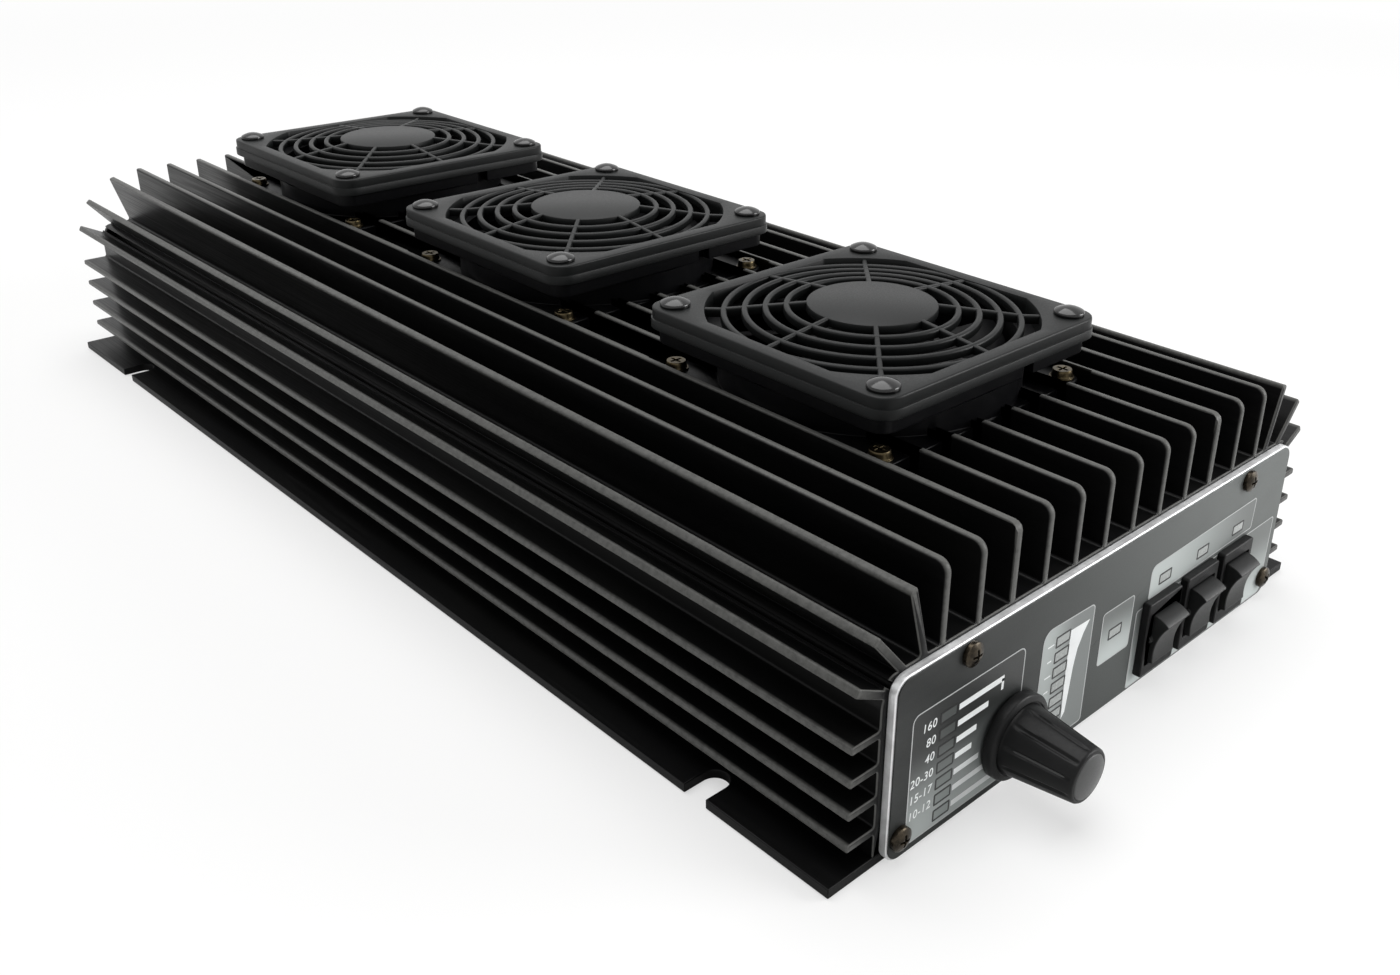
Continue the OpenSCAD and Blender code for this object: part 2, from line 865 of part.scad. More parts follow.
module cable_gland() {
    color([0.1, 0.1, 0.1])
    translate([gland_x, back_y, gland_z])
        difference() {
            union() {
                translate([0, 6, 0]) rotate([90, 0, 0]) cylinder(r = 11.4, h = 6, $fn = 6);
                translate([0, gland_len - 6, 0]) rod_y(9.4, gland_len - 11);
                translate([0, gland_len, 0]) rotate([90, 0, 0]) cylinder(r1 = 7, r2 = 9.4, h = 6);
                translate([0, 1, 0]) rod_y(8, 11);
            }
            translate([0, gland_len + 1, 0]) rod_y(gland_bore_r, gland_len + 12);
        }
}

module gland_nut() {
    color([0.1, 0.1, 0.1])
    translate([gland_x, rear_y, gland_z])
        difference() {
            rotate([90, 0, 0]) cylinder(r = 11.4, h = 4, $fn = 6);
            translate([0, 1, 0]) rod_y(8, 6);
        }
}

module ground_post() {
    color("silver")
    translate([post_x, back_y, post_z]) {
        translate([0, 14, 0]) rod_y(2, 22);
        translate([0, 1, 0]) rod_y(4.5, 1);
        translate([0, 5, 0]) rod_y(4.2, 4.2);
        translate([-9, 2, -1]) cube([18, 2.4, 2]);
        translate([0, -panel_t, 0]) rotate([90, 0, 0]) cylinder(r = 4, h = 2.4, $fn = 6);
    }
}

// Inside: two boards hang under the top wall, with their components facing down

module inner_board(y, length) {
    difference() {
        translate([-inner_board_w / 2, y, board_z]) cube([inner_board_w, length, board_t]);
        for (p = spacer_spots) {
            translate([p[0], p[1], board_z - 1]) cylinder(r = screw_hole_r, h = board_t + 2);
        }
    }
}

module power_board() {
    color("darkgreen") inner_board(power_board_y, power_board_len);
}

module filter_board() {
    color("darkgreen") inner_board(filter_board_y, filter_board_len);
}

module board_spacers() {
    color("silver")
    for (p = spacer_spots) {
        translate([p[0], p[1], board_z + board_t]) cylinder(r = spacer_r, h = board_gap, $fn = 6);
        translate([p[0], p[1], board_z - 2]) {
            cylinder(r = screw_r, h = board_t + 3);
            cylinder(r = 2.8, h = 2);
        }
    }
}

module toroid() {
    rotate([90, 0, 0]) rotate_extrude() translate([toroid_r, 0]) circle(r = toroid_wire_r);
}

module filter_toroids() {
    color([0.75, 0.2, 0.15])
    for (y = [filter_board_y + 36, filter_board_y + 112]) {
        for (i = [-2:2]) {
            translate([toroid_pitch * i, y, board_z - toroid_r - toroid_wire_r]) toroid();
        }
    }
}

module band_relays() {
    color([0.15, 0.3, 0.6])
    for (i = [-3:3]) {
        translate([relay_pitch * i - 6, filter_board_y + 62, board_z - 15]) cube([12, 24, 15]);
    }
}

// Two ferrite tubes side by side, each with its winding hole
module tube_pair(y, r, hole_r, length) {
    for (sx = [-1, 1]) {
        translate([sx * (r + 0.5), y, board_z - r])
            difference() {
                rod_y(r, length);
                translate([0, 1, 0]) rod_y(hole_r, length + 2);
            }
    }
}

module output_transformer() {
    color([0.25, 0.25, 0.25]) tube_pair(power_board_y + 40, 12, 5, 34);
}

module input_transformer() {
    color([0.25, 0.25, 0.25]) tube_pair(power_board_y + power_board_len - 10, 5.5, 2, 14);
}

module power_transistors() {
    color([0.85, 0.8, 0.7])
    for (x = [-42, -16, 16, 42]) {
        translate([x, power_board_y + power_board_len / 2, board_z + board_t]) {
            translate([-6, -12, 0]) cube([12, 24, board_gap]);
            translate([-2.6, -18, 0]) cube([5.2, 36, 0.3]);
        }
    }
}

// Holders for the two blade fuses, open below
module fuse_block() {
    color([0.1, 0.1, 0.1])
    for (x = fuse_xs) {
        translate([x - fuse_w / 2 - 2.5, fuse_y - fuse_l / 2 - 2.5, board_z - 10])
            difference() {
                cube([fuse_w + 5, fuse_l + 5, 10]);
                translate([2.5, 2.5, -1]) cube([fuse_w, fuse_l, 8]);
            }
    }
}

module blade_fuses() {
    color([0.2, 0.45, 0.2])
    for (x = fuse_xs) {
        translate([x - fuse_w / 2 + fuse_gap, fuse_y - fuse_l / 2 + fuse_gap, board_z - 15])
            cube([fuse_w - 2 * fuse_gap, fuse_l - 2 * fuse_gap, 12]);
    }
}

heatsink();
base_plate();
base_screws();
front_panel();
front_label();
front_screw(0);  // front_screw_1
front_screw(1);  // front_screw_2
front_screw(2);  // front_screw_3
front_screw(3);  // front_screw_4
band_windows();
level_windows();
status_windows();
display_board();
band_switch();
switch_nut();
band_shaft();
band_knob();
knob_cap();
switch_body(0);  // switch_body_1
switch_body(1);  // switch_body_2
switch_body(2);  // switch_body_3
rocker(0);  // rocker_1
rocker(1);  // rocker_2
rocker(2);  // rocker_3
fan_frame(0);  // fan_frame_1
fan_frame(1);  // fan_frame_2
fan_frame(2);  // fan_frame_3
fan_rotor(0);  // fan_rotor_1
fan_rotor(1);  // fan_rotor_2
fan_rotor(2);  // fan_rotor_3
fan_guard(0);  // fan_guard_1
fan_guard(1);  // fan_guard_2
fan_guard(2);  // fan_guard_3
fan_screws(0);  // fan_screws_1
fan_screws(1);  // fan_screws_2
fan_screws(2);  // fan_screws_3
guard_rivets(0);  // guard_rivets_1
guard_rivets(1);  // guard_rivets_2
guard_rivets(2);  // guard_rivets_3
rear_panel();
rear_screws();
coax_socket(0);  // coax_socket_1
coax_socket(1);  // coax_socket_2
coax_core(0);  // coax_core_1
coax_core(1);  // coax_core_2
control_jacks();
cable_gland();
gland_nut();
ground_post();
power_board();
filter_board();
board_spacers();
filter_toroids();
band_relays();
output_transformer();
input_transformer();
power_transistors();
fuse_block();
blade_fuses();
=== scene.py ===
"""A mobile HF linear amplifier: finned aluminium housing, three fans, front and rear panels.

Laid out as an add-on. Sizes are in metres in the CAD frame: front is -Y, right is +X, Z is up.
"""

import json
import math

import bmesh
import bpy
from bpy.props import FloatProperty, FloatVectorProperty, IntProperty, PointerProperty
from mathutils import Matrix, Vector

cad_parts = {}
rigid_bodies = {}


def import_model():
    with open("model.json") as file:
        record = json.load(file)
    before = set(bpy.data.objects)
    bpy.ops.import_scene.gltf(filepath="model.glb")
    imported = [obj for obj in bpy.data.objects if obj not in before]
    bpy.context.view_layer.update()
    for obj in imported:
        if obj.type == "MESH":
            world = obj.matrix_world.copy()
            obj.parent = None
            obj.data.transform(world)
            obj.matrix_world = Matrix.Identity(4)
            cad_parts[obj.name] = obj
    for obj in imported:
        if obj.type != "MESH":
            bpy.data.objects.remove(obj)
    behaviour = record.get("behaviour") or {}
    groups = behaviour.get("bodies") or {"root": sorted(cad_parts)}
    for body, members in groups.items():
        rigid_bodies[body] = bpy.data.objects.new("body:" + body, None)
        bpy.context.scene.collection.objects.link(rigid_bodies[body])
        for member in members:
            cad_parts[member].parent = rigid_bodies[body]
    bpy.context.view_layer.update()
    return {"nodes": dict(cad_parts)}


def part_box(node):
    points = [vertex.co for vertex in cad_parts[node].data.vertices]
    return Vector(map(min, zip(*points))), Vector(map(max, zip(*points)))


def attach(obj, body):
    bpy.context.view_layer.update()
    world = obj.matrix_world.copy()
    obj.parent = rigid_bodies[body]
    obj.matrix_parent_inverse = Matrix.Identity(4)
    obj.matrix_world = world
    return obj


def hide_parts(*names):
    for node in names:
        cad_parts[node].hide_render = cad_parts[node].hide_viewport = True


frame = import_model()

bl_info = {
    "name": "HF linear amplifier parts",
    "version": (1, 0, 0),
    "blender": (4, 5, 0),
    "location": "View3D > Sidebar > Amplifier",
    "description": "Builds the visible pieces of a finned amplifier around its CAD frame",
    "category": "Object",
}

MM = 0.001
NUMBERS = (1, 2, 3)  # of the fans, and of the switches
TINY = 1e-6
ALMOST_STRAIGHT = 0.02
LONGEST_CUT = 0.49
SHARPEST_MITRE = 0.35


# Places taken from the frame, in millimetres


def span(node):
    """Lowest and highest corner of a CAD node, in millimetres."""
    low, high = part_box(node)
    return low / MM, high / MM


def middle(node):
    low, high = span(node)
    return (low + high) / 2


FILM_Y = span("front_label")[0].y
FRONT_Y = span("front_panel")[1].y
REAR_Y = -FRONT_Y
FIN_TOP = span("heatsink")[1].z
FAN_SEAT = span("fan_frame_1")[0].z
FAN_YS = [middle(f"fan_frame_{k}").y for k in NUMBERS]
GUARD_SEAT = span("fan_guard_1")[0].z
KNOB = middle("band_knob")
KNOB_BACK = span("band_knob")[1].y
SWITCHES = [middle(f"switch_body_{k}") for k in NUMBERS]


# Sizes and colours that a user would change


def length(name, description, default):
    return FloatProperty(name=name, description=description, default=default * MM, unit="LENGTH", precision=5)


def colour(name, description, default):
    return FloatVectorProperty(
        name=name, description=description, default=default, subtype="COLOR", size=3, min=0, max=1
    )


class AMP_PG_housing(bpy.types.PropertyGroup):
    core_top: length("Top wall height", "Height of the top wall's outer face", 47)
    fin_count: IntProperty(name="Fins", description="Upright fins on top", default=12, min=8, max=12)
    fin_thickness: length("Fin thickness", "Thickness of an upright fin", 2)
    fin_pitch: length("Fin pitch", "Distance between two upright fins", 11.55)
    fin_nose: length("Fin nose", "Radius of the fins' front upper corners", 3)
    edge_round: length("Edge rounding", "Rounding of the fins' edges", 0.62)
    root_round: length("Root rounding", "Fillet between a fin and its wall", 0.8)
    pocket_across: length("Pocket width", "Width of the pockets that the fans sit in", 80.4)
    pocket_along: length("Pocket length", "Length of the pockets that the fans sit in", 84)
    metal: colour("Anodising", "Colour of the black anodised aluminium", (0.0025, 0.0025, 0.0027))
    # The Edge colour is a painted highlight on the housing's rounded edges and on the base tray's rim
    edge: colour("Edge", "Colour of the anodising where the edges are rubbed", (0.105, 0.105, 0.1))


class AMP_PG_front(bpy.types.PropertyGroup):
    film_dark: colour("Film, left", "Colour of the printed film at the left", (0.014, 0.0155, 0.015))
    film_light: colour("Film, right", "Colour of the printed film at the right", (0.13, 0.14, 0.136))
    print_pale: colour("Pale print", "Colour of the pale printed areas", (0.5, 0.54, 0.53))
    print_white: colour("White print", "Colour of the white lines and numbers", (0.88, 0.9, 0.9))
    number_height: length("Number height", "Height of the printed numbers", 2.2)
    line_width: length("Line width", "Width of the printed outlines", 0.3)
    bar_width: length("Bar width", "Width of the white bars beside the knob", 1.5)


class AMP_PG_knob(bpy.types.PropertyGroup):
    collar: length("Collar radius", "Radius of the knob's collar", 10.5)
    collar_height: length("Collar height", "Height of the knob's collar", 3)
    base: length("Grip radius, base", "Radius of the grip beside the collar", 8.4)
    tip: length("Grip radius, tip", "Radius of the grip at its end", 6.5)
    flutes: IntProperty(name="Grooves", description="Grooves round the grip", default=10, min=4, max=20)
    flute_depth: length("Groove depth", "Depth of a groove", 0.45)
    pointer_turn: FloatProperty(
        name="Pointer turn",
        description="Turn of the pointer from the panel's right",
        default=math.radians(162),
        subtype="ANGLE",
    )
    plastic: colour("Knob plastic", "Colour of the knob", (0.005, 0.0052, 0.0054))
    cap: colour("Knob cap", "Colour of the cap in the knob's end", (0.05, 0.051, 0.051))


class AMP_PG_fans(bpy.types.PropertyGroup):
    guard_width: length("Guard width", "Side of the square finger guard", 84)
    guard_height: length("Guard thickness", "Thickness of the guard's frame", 5.5)
    opening: length("Guard opening", "Radius of the guard's round opening", 43)
    rise: length("Guard rise", "Height of the guard's middle over its rim", 2.4)
    bar: length("Guard bar", "Width of the guard's frame beside the opening", 4.5)
    ring_count: IntProperty(name="Rings", description="Rings of the guard", default=4, min=2, max=6)
    first_ring: length("First ring", "Radius of the smallest ring", 22)
    ring_step: length("Ring step", "Distance between two rings", 5.37)
    ring_width: length("Ring width", "Width of a ring's bar", 1.7)
    ring_height: length("Ring height", "Height of a ring's bar", 2.4)
    disc: length("Disc radius", "Radius of the guard's middle disc", 17)
    spokes: IntProperty(name="Spokes", description="Spokes of the guard", default=8, min=4, max=12)
    spoke_width: length("Spoke width", "Width of a spoke", 1.4)
    rivet: length("Rivet radius", "Radius of a rivet's domed head", 4)
    blades: IntProperty(name="Blades", description="Blades of a rotor", default=7, min=5, max=9)
    plastic: colour("Guard plastic", "Colour of the guard", (0.005, 0.0056, 0.0056))


# Outlines


def arc(cx, cz, r, start, end, steps):
    """Points on an arc, from start to end degrees."""
    turn = [math.radians(start + (end - start) * i / steps) for i in range(steps + 1)]
    return [(cx + r * math.cos(t), cz + r * math.sin(t)) for t in turn]


def mirrored(corners):
    """The corners at the other side of the middle, in reverse order."""
    return [(-a, b, *rest) for a, b, *rest in reversed(corners)]


def rounded(corners, steps=4):
    """The points of a closed outline whose corners (a, b, radius) are rounded."""
    points = []
    for i, corner in enumerate(corners):
        here = Vector(corner[:2])
        to_before = Vector(corners[i - 1][:2]) - here
        to_after = Vector(corners[(i + 1) % len(corners)][:2]) - here
        radius = corner[2] if len(corner) > 2 else 0
        sharp = not radius or min(to_before.length, to_after.length) < TINY
        angle = math.pi if sharp else to_before.angle(to_after)
        if angle > math.pi - ALMOST_STRAIGHT:
            points.append(tuple(here))
            continue
        longest = min(to_before.length * LONGEST_CUT, to_after.length * LONGEST_CUT)
        cut = min(radius / math.tan(angle / 2), longest)
        radius = cut * math.tan(angle / 2)
        a = here + to_before.normalized() * cut
        b = here + to_after.normalized() * cut
        halfway = (to_before.normalized() + to_after.normalized()).normalized()
        centre = here + halfway * (radius / math.sin(angle / 2))
        arm, end = a - centre, b - centre
        turn = arm.angle_signed(end)
        for k in range(steps + 1):
            t = -turn * k / steps
            cos, sin = math.cos(t), math.sin(t)
            points.append((centre.x + arm.x * cos - arm.y * sin, centre.y + arm.x * sin + arm.y * cos))
    return points


def inset(points, depth):
    """A closed outline that runs counterclockwise, moved inwards by depth."""
    moved = []
    count = len(points)
    for i in range(count):
        here = Vector(points[i])
        a = here - Vector(points[i - 1])
        b = Vector(points[(i + 1) % count]) - here
        if min(a.length, b.length) < TINY * MM:
            moved.append(tuple(here))
            continue
        na = Vector((-a.y, a.x)).normalized()
        nb = Vector((-b.y, b.x)).normalized()
        moved.append(tuple(here + (na + nb) * (depth / max(SHARPEST_MITRE, 1 + na.dot(nb)))))
    return moved


def rounded_rectangle(cx, cz, w, h, r, steps):
    """A rounded rectangle round a centre, counterclockwise."""
    sides = ((-1, -1), (1, -1), (1, 1), (-1, 1))
    return rounded([(cx + sx * w / 2, cz + sz * h / 2, r) for sx, sz in sides], steps)


def dome(start, full, low, rise):
    """A profile over a flattened dome, from the radius start in to the axis."""
    radii = [start * math.cos(math.radians(90 * i / 8)) for i in range(1, 8)] + [0]
    return [(r, low + rise * (1 - (r / full) ** 2)) for r in radii]


# Meshes, whose points are given in millimetres

SAME_POINT = 0.002 * MM
CAD_SAME_POINT = 0.001 * MM
CAD_FLAT = math.radians(0.6)
ROUNDED_FROM = math.radians(35)


def bridge(bm, a, b):
    """Joins two closed rows of as many points each."""
    for i in range(len(a)):
        j = (i + 1) % len(a)
        bm.faces.new((a[i], a[j], b[j], b[i]))


def skin(bm, rings, edge_values=None):
    """Joins rings of as many points each, and closes the two ends."""
    # The edge attribute holds the strength of the housing's painted edge highlight
    layer = bm.verts.layers.float.get("edge") or bm.verts.layers.float.new("edge")
    made = []
    for k, ring in enumerate(rings):
        row = []
        for p in ring:
            vert = bm.verts.new(Vector(p) * MM)
            vert[layer] = edge_values[k] if edge_values else 0
            row.append(vert)
        made.append(row)
    for low, high in zip(made, made[1:]):
        bridge(bm, low, high)
    bm.faces.new(list(reversed(made[0])))
    bm.faces.new(made[-1])
    return made


def tube(bm, rings):
    """Joins rings of as many points each, and the last one to the first."""
    rows = [[bm.verts.new(Vector(p) * MM) for p in ring] for ring in rings]
    for a, b in zip(rows, rows[1:] + rows[:1]):
        bridge(bm, a, b)


def upright(a, b, c):
    return (a, b, c)


def lathe(bm, profile, place=upright, steps=64, cut=None):
    """Turns a profile of (radius, height) points about an axis; a radius of 0 closes a pole.

    cut(k, radius, turn) tells how deep a groove is at point k of the profile.
    """
    rows = []
    for k, (radius, h) in enumerate(profile):
        if radius < TINY:
            rows.append([bm.verts.new(Vector(place(0, 0, h)) * MM)])
            continue
        row = []
        for i in range(steps):
            t = 2 * math.pi * i / steps
            r = radius - cut(k, radius, t) if cut else radius
            row.append(bm.verts.new(Vector(place(r * math.cos(t), r * math.sin(t), h)) * MM))
        rows.append(row)
    for a, b in zip(rows, rows[1:]):
        for i in range(steps):
            j = (i + 1) % steps
            quad = [a[i % len(a)], a[j % len(a)], b[j % len(b)], b[i % len(b)]]
            quad = [v for k, v in enumerate(quad) if v not in quad[:k]]
            if len(quad) > 2:
                bm.faces.new(quad)


def soften(mesh, angle):
    mesh.shade_smooth()
    mesh.set_sharp_from_angle(angle=math.radians(angle))


def to_mesh(name, bm, angle=35):
    """A plain mesh from bm: doubled points merged, end faces cut into triangles, normals outwards."""
    bmesh.ops.remove_doubles(bm, verts=bm.verts, dist=SAME_POINT)
    bmesh.ops.dissolve_degenerate(bm, edges=bm.edges, dist=SAME_POINT)
    many = [f for f in bm.faces if len(f.verts) > 4]
    bmesh.ops.triangulate(bm, faces=many, ngon_method="EAR_CLIP")
    bmesh.ops.recalc_face_normals(bm, faces=bm.faces)
    mesh = bpy.data.meshes.new(name)
    bm.to_mesh(mesh)
    bm.free()
    soften(mesh, angle)
    return mesh


def joined(name, meshes):
    """One mesh from several."""
    bm = bmesh.new()
    for mesh in meshes:
        bm.from_mesh(mesh)
    made = bpy.data.meshes.new(name)
    bm.to_mesh(made)
    bm.free()
    return made


def evaluated(holder, name):
    """The plain mesh of an object with its modifiers; the object and its own data are removed."""
    bpy.context.view_layer.update()
    graph = bpy.context.evaluated_depsgraph_get()
    made = bpy.data.meshes.new_from_object(holder.evaluated_get(graph), depsgraph=graph)
    made.name = name
    old = holder.data
    bpy.data.objects.remove(holder)
    bpy.data.batch_remove([old])
    return made


def cad_copy(node, width, rim=False):
    """A mesh like a CAD node's, with its triangles merged into flats and its edges rounded by width.

    With rim, the rounded edges get a material slot of their own.
    """
    bm = bmesh.new()
    bm.from_mesh(frame["nodes"][node].data)
    bmesh.ops.remove_doubles(bm, verts=bm.verts, dist=CAD_SAME_POINT)
    bmesh.ops.dissolve_limit(bm, angle_limit=CAD_FLAT, verts=bm.verts, edges=bm.edges)
    mesh = bpy.data.meshes.new(node + "_copy")
    bm.to_mesh(mesh)
    bm.free()
    mesh.materials.clear()
    holder = bpy.data.objects.new(node + "_copy", mesh)
    bpy.context.scene.collection.objects.link(holder)
    bevel = holder.modifiers.new("Edge rounding", "BEVEL")
    bevel.width = width * MM
    bevel.segments = 2
    bevel.limit_method = "ANGLE"
    bevel.angle_limit = ROUNDED_FROM
    bevel.use_clamp_overlap = False
    bevel.harden_normals = False
    bevel.miter_outer = "MITER_ARC"
    if rim:
        bevel.material = 1
        for slot in ("rim_a", "rim_b"):
            mesh.materials.append(bpy.data.materials.new(slot))
    flat = holder.modifiers.new("Flat faces", "WEIGHTED_NORMAL")
    flat.keep_sharp = True
    soften(mesh, 60)
    return evaluated(holder, node + "_mesh")


def place_piece(name, mesh, material, body="chassis", stands_for=(), slot=None):
    """Puts a mesh into the scene as a piece of the object."""
    piece = bpy.data.objects.new(name, mesh)
    bpy.context.scene.collection.objects.link(piece)
    if material is not None:
        mesh.materials.clear()
        for one in material if isinstance(material, (list, tuple)) else [material]:
            mesh.materials.append(one)
    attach(piece, body)
    if stands_for:
        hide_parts(*stands_for)
    return piece


def dressed(node, name, width, finish, slot, body="chassis", rim=None):
    """Puts a copy of a CAD node in its place; rim names the finish of its rounded edges."""
    materials = [MATERIALS[key] for key in (finish, rim) if key]
    place_piece(name, cad_copy(node, width, bool(rim)), materials, body, [node], slot)


# Geometry Nodes trees


class Nodes:
    """Adds nodes to a tree and joins them."""

    def __init__(self, tree):
        self.tree = tree

    def put(self, socket, value):
        if isinstance(value, bpy.types.NodeSocket):
            self.tree.links.new(value, socket)
        elif value is not None:
            socket.default_value = value

    def add(self, kind, inputs=None, **settings):
        made = self.tree.nodes.new(kind)
        made.location = (180 * len(self.tree.nodes), 0)
        for key, value in settings.items():
            setattr(made, key, value)
        for key, value in (inputs or {}).items():
            self.put(made.inputs[key], value)
        return made

    def math(self, operation, *values):
        return self.add("ShaderNodeMath", dict(enumerate(values)), operation=operation).outputs[0]


def geometry_tree(name, inputs, build):
    """A Geometry Nodes tree with named inputs, ending in Realize Instances and Set Material."""
    tree = bpy.data.node_groups.new(name, "GeometryNodeTree")
    tree.interface.new_socket("Geometry", in_out="INPUT", socket_type="NodeSocketGeometry")
    for label, kind, default in inputs + [("Material", "NodeSocketMaterial", None)]:
        socket = tree.interface.new_socket(label, in_out="INPUT", socket_type=kind)
        if default is not None:
            socket.default_value = default
    tree.interface.new_socket("Geometry", in_out="OUTPUT", socket_type="NodeSocketGeometry")
    nodes = Nodes(tree)
    given = nodes.add("NodeGroupInput").outputs
    built = build(nodes, given)
    whole = nodes.add("GeometryNodeRealizeInstances", {"Geometry": built}).outputs[0]
    painted = nodes.add("GeometryNodeSetMaterial", {"Geometry": whole, "Material": given["Material"]})
    nodes.add("NodeGroupOutput", {"Geometry": painted.outputs[0]})
    return tree


def run_tree(name, mesh, tree, values):
    """The plain mesh that a Geometry Nodes tree makes of mesh with these input values."""
    holder = bpy.data.objects.new(name + "_holder", mesh)
    bpy.context.scene.collection.objects.link(holder)
    modifier = holder.modifiers.new(tree.name, "NODES")
    modifier.node_group = tree
    sockets = {
        item.name: item.identifier
        for item in tree.interface.items_tree
        if item.item_type == "SOCKET" and item.in_out == "INPUT"
    }
    for label, value in values.items():
        modifier[sockets[label]] = value
    return evaluated(holder, name)


def instances(nodes, points, instance, **more):
    """Instances on points."""
    inputs = {"Points": points, "Instance": instance, **more}
    return nodes.add("GeometryNodeInstanceOnPoints", inputs).outputs[0]


def build_row(nodes, given):
    """Copies along X, as fins on a wall."""
    step = nodes.add("ShaderNodeCombineXYZ", {"X": given["Pitch"]}).outputs[0]
    start = nodes.add("ShaderNodeCombineXYZ", {"X": given["First place"]}).outputs[0]
    inputs = {"Count": given["Count"], "Start Location": start, "Offset": step}
    line = nodes.add("GeometryNodeMeshLine", inputs).outputs[0]
    return instances(nodes, line, given["Geometry"])


def build_round(nodes, given):
    """Copies round the Z axis, as spokes or blades."""
    points = nodes.add("GeometryNodePoints", {"Count": given["Count"]}).outputs[0]
    index = nodes.add("GeometryNodeInputIndex").outputs[0]
    share = nodes.math("DIVIDE", index, given["Count"])
    turn = nodes.math("MULTIPLY_ADD", share, 2 * math.pi, given["First turn"])
    rotation = nodes.add("ShaderNodeCombineXYZ", {"Z": turn}).outputs[0]
    return instances(nodes, points, given["Geometry"], Rotation=rotation)


def build_rings(nodes, given):
    """Rings round one centre, each higher than the next one out; the geometry given is their section."""
    index = nodes.add("GeometryNodeInputIndex").outputs[0]
    radius = nodes.math("MULTIPLY_ADD", index, given["Step"], given["First radius"])
    height = nodes.math("MULTIPLY", nodes.math("SUBTRACT", given["Rim radius"], radius), given["Slope"])
    place = nodes.add("ShaderNodeCombineXYZ", {"Z": height}).outputs[0]
    points = nodes.add("GeometryNodePoints", {"Count": given["Count"], "Position": place}).outputs[0]
    circle = nodes.add("GeometryNodeCurvePrimitiveCircle", {"Resolution": 128, "Radius": 1.0}).outputs[0]
    scale = nodes.add("ShaderNodeCombineXYZ", {"X": radius, "Y": radius, "Z": 1.0}).outputs[0]
    many = instances(nodes, points, circle, Scale=scale)
    loose = nodes.add("GeometryNodeRealizeInstances", {"Geometry": many}).outputs[0]
    outline = nodes.add("GeometryNodeMeshToCurve", {"Mesh": given["Geometry"]}).outputs[0]
    return nodes.add("GeometryNodeCurveToMesh", {"Curve": loose, "Profile Curve": outline}).outputs[0]


def build_places(nodes, given):
    """A copy of an object at each point, turned by a random part of the largest turn about its Z axis."""
    info = nodes.add("GeometryNodeObjectInfo", {"Object": given["Copy"]}, transform_space="ORIGINAL")
    inputs = {"Max": given["Largest turn"], "Seed": given["Seed"]}
    turn = nodes.add("FunctionNodeRandomValue", inputs, data_type="FLOAT")
    drawn = next(output for output in turn.outputs if output.enabled and output.type == "VALUE")
    spin = nodes.add("ShaderNodeCombineXYZ", {"Z": drawn}).outputs[0]
    lean = nodes.add("FunctionNodeEulerToRotation", {0: given["Lean"]}).outputs[0]
    own = nodes.add("FunctionNodeEulerToRotation", {0: spin}).outputs[0]
    both = nodes.add("FunctionNodeRotateRotation", {0: lean, 1: own}, rotation_space="LOCAL").outputs[0]
    return instances(nodes, given["Geometry"], info.outputs["Geometry"], Rotation=both)


def make_trees():
    """The four trees, by name."""
    whole, distance = "NodeSocketInt", "NodeSocketFloat"
    row = [("Count", whole, 8), ("Pitch", distance, 0.01), ("First place", distance, 0.0)]
    turned = [("Count", whole, 8), ("First turn", distance, 0.0)]
    rings = [("Count", whole, 4), ("First radius", distance, 0.02), ("Step", distance, 0.005)]
    rings += [("Rim radius", distance, 0.04), ("Slope", distance, 0.1)]
    places = [("Copy", "NodeSocketObject", None), ("Lean", "NodeSocketVector", (0, 0, 0))]
    places += [("Largest turn", distance, 0.0), ("Seed", whole, 3)]
    return {
        "row": geometry_tree("Fin row", row, build_row),
        "round": geometry_tree("Round an axis", turned, build_round),
        "rings": geometry_tree("Guard rings", rings, build_rings),
        "places": geometry_tree("Placed copies", places, build_places),
    }


def copies(name, mesh, places, material, lean=(0, 0, 0), largest_turn=0.0, seed=3):
    """Copies of a mesh at places in millimetres, made by the Placed copies tree."""
    copied = bpy.data.objects.new(name + "_one", mesh)
    bpy.context.scene.collection.objects.link(copied)
    points = bpy.data.meshes.new(name + "_points")
    points.from_pydata([tuple(Vector(p) * MM) for p in places], [], [])
    values = {"Copy": copied, "Lean": lean, "Largest turn": largest_turn, "Seed": seed, "Material": material}
    made = run_tree(name, points, TREES["places"], values)
    bpy.data.objects.remove(copied)
    return made


# Shader groups and materials


def shader_group(name, inputs, outputs, build):
    tree = bpy.data.node_groups.new(name, "ShaderNodeTree")
    for label, kind, default in inputs:
        socket = tree.interface.new_socket(label, in_out="INPUT", socket_type=kind)
        socket.default_value = default
    for label, kind in outputs:
        tree.interface.new_socket(label, in_out="OUTPUT", socket_type=kind)
    nodes = Nodes(tree)
    given = nodes.add("NodeGroupInput").outputs
    nodes.add("NodeGroupOutput", build(nodes, given))
    return tree


def stretched(nodes, stretch):
    place = nodes.add("ShaderNodeTexCoord").outputs["Object"]
    return nodes.add("ShaderNodeVectorMath", {0: place, 1: stretch}, operation="MULTIPLY").outputs[0]


def build_grain(nodes, given):
    """Fine noise, as roughness between two limits and as relief."""
    place = stretched(nodes, given["Stretch"])
    noise = nodes.add("ShaderNodeTexNoise", {"Vector": place, "Scale": given["Scale"], "Detail": 3.0})
    height = noise.outputs["Fac"]
    limits = {"To Min": given["Roughness low"], "To Max": given["Roughness high"]}
    rough = nodes.add("ShaderNodeMapRange", {"Value": height, "From Min": 0.3, "From Max": 0.7, **limits})
    return {"Roughness": rough.outputs["Result"], "Height": height}


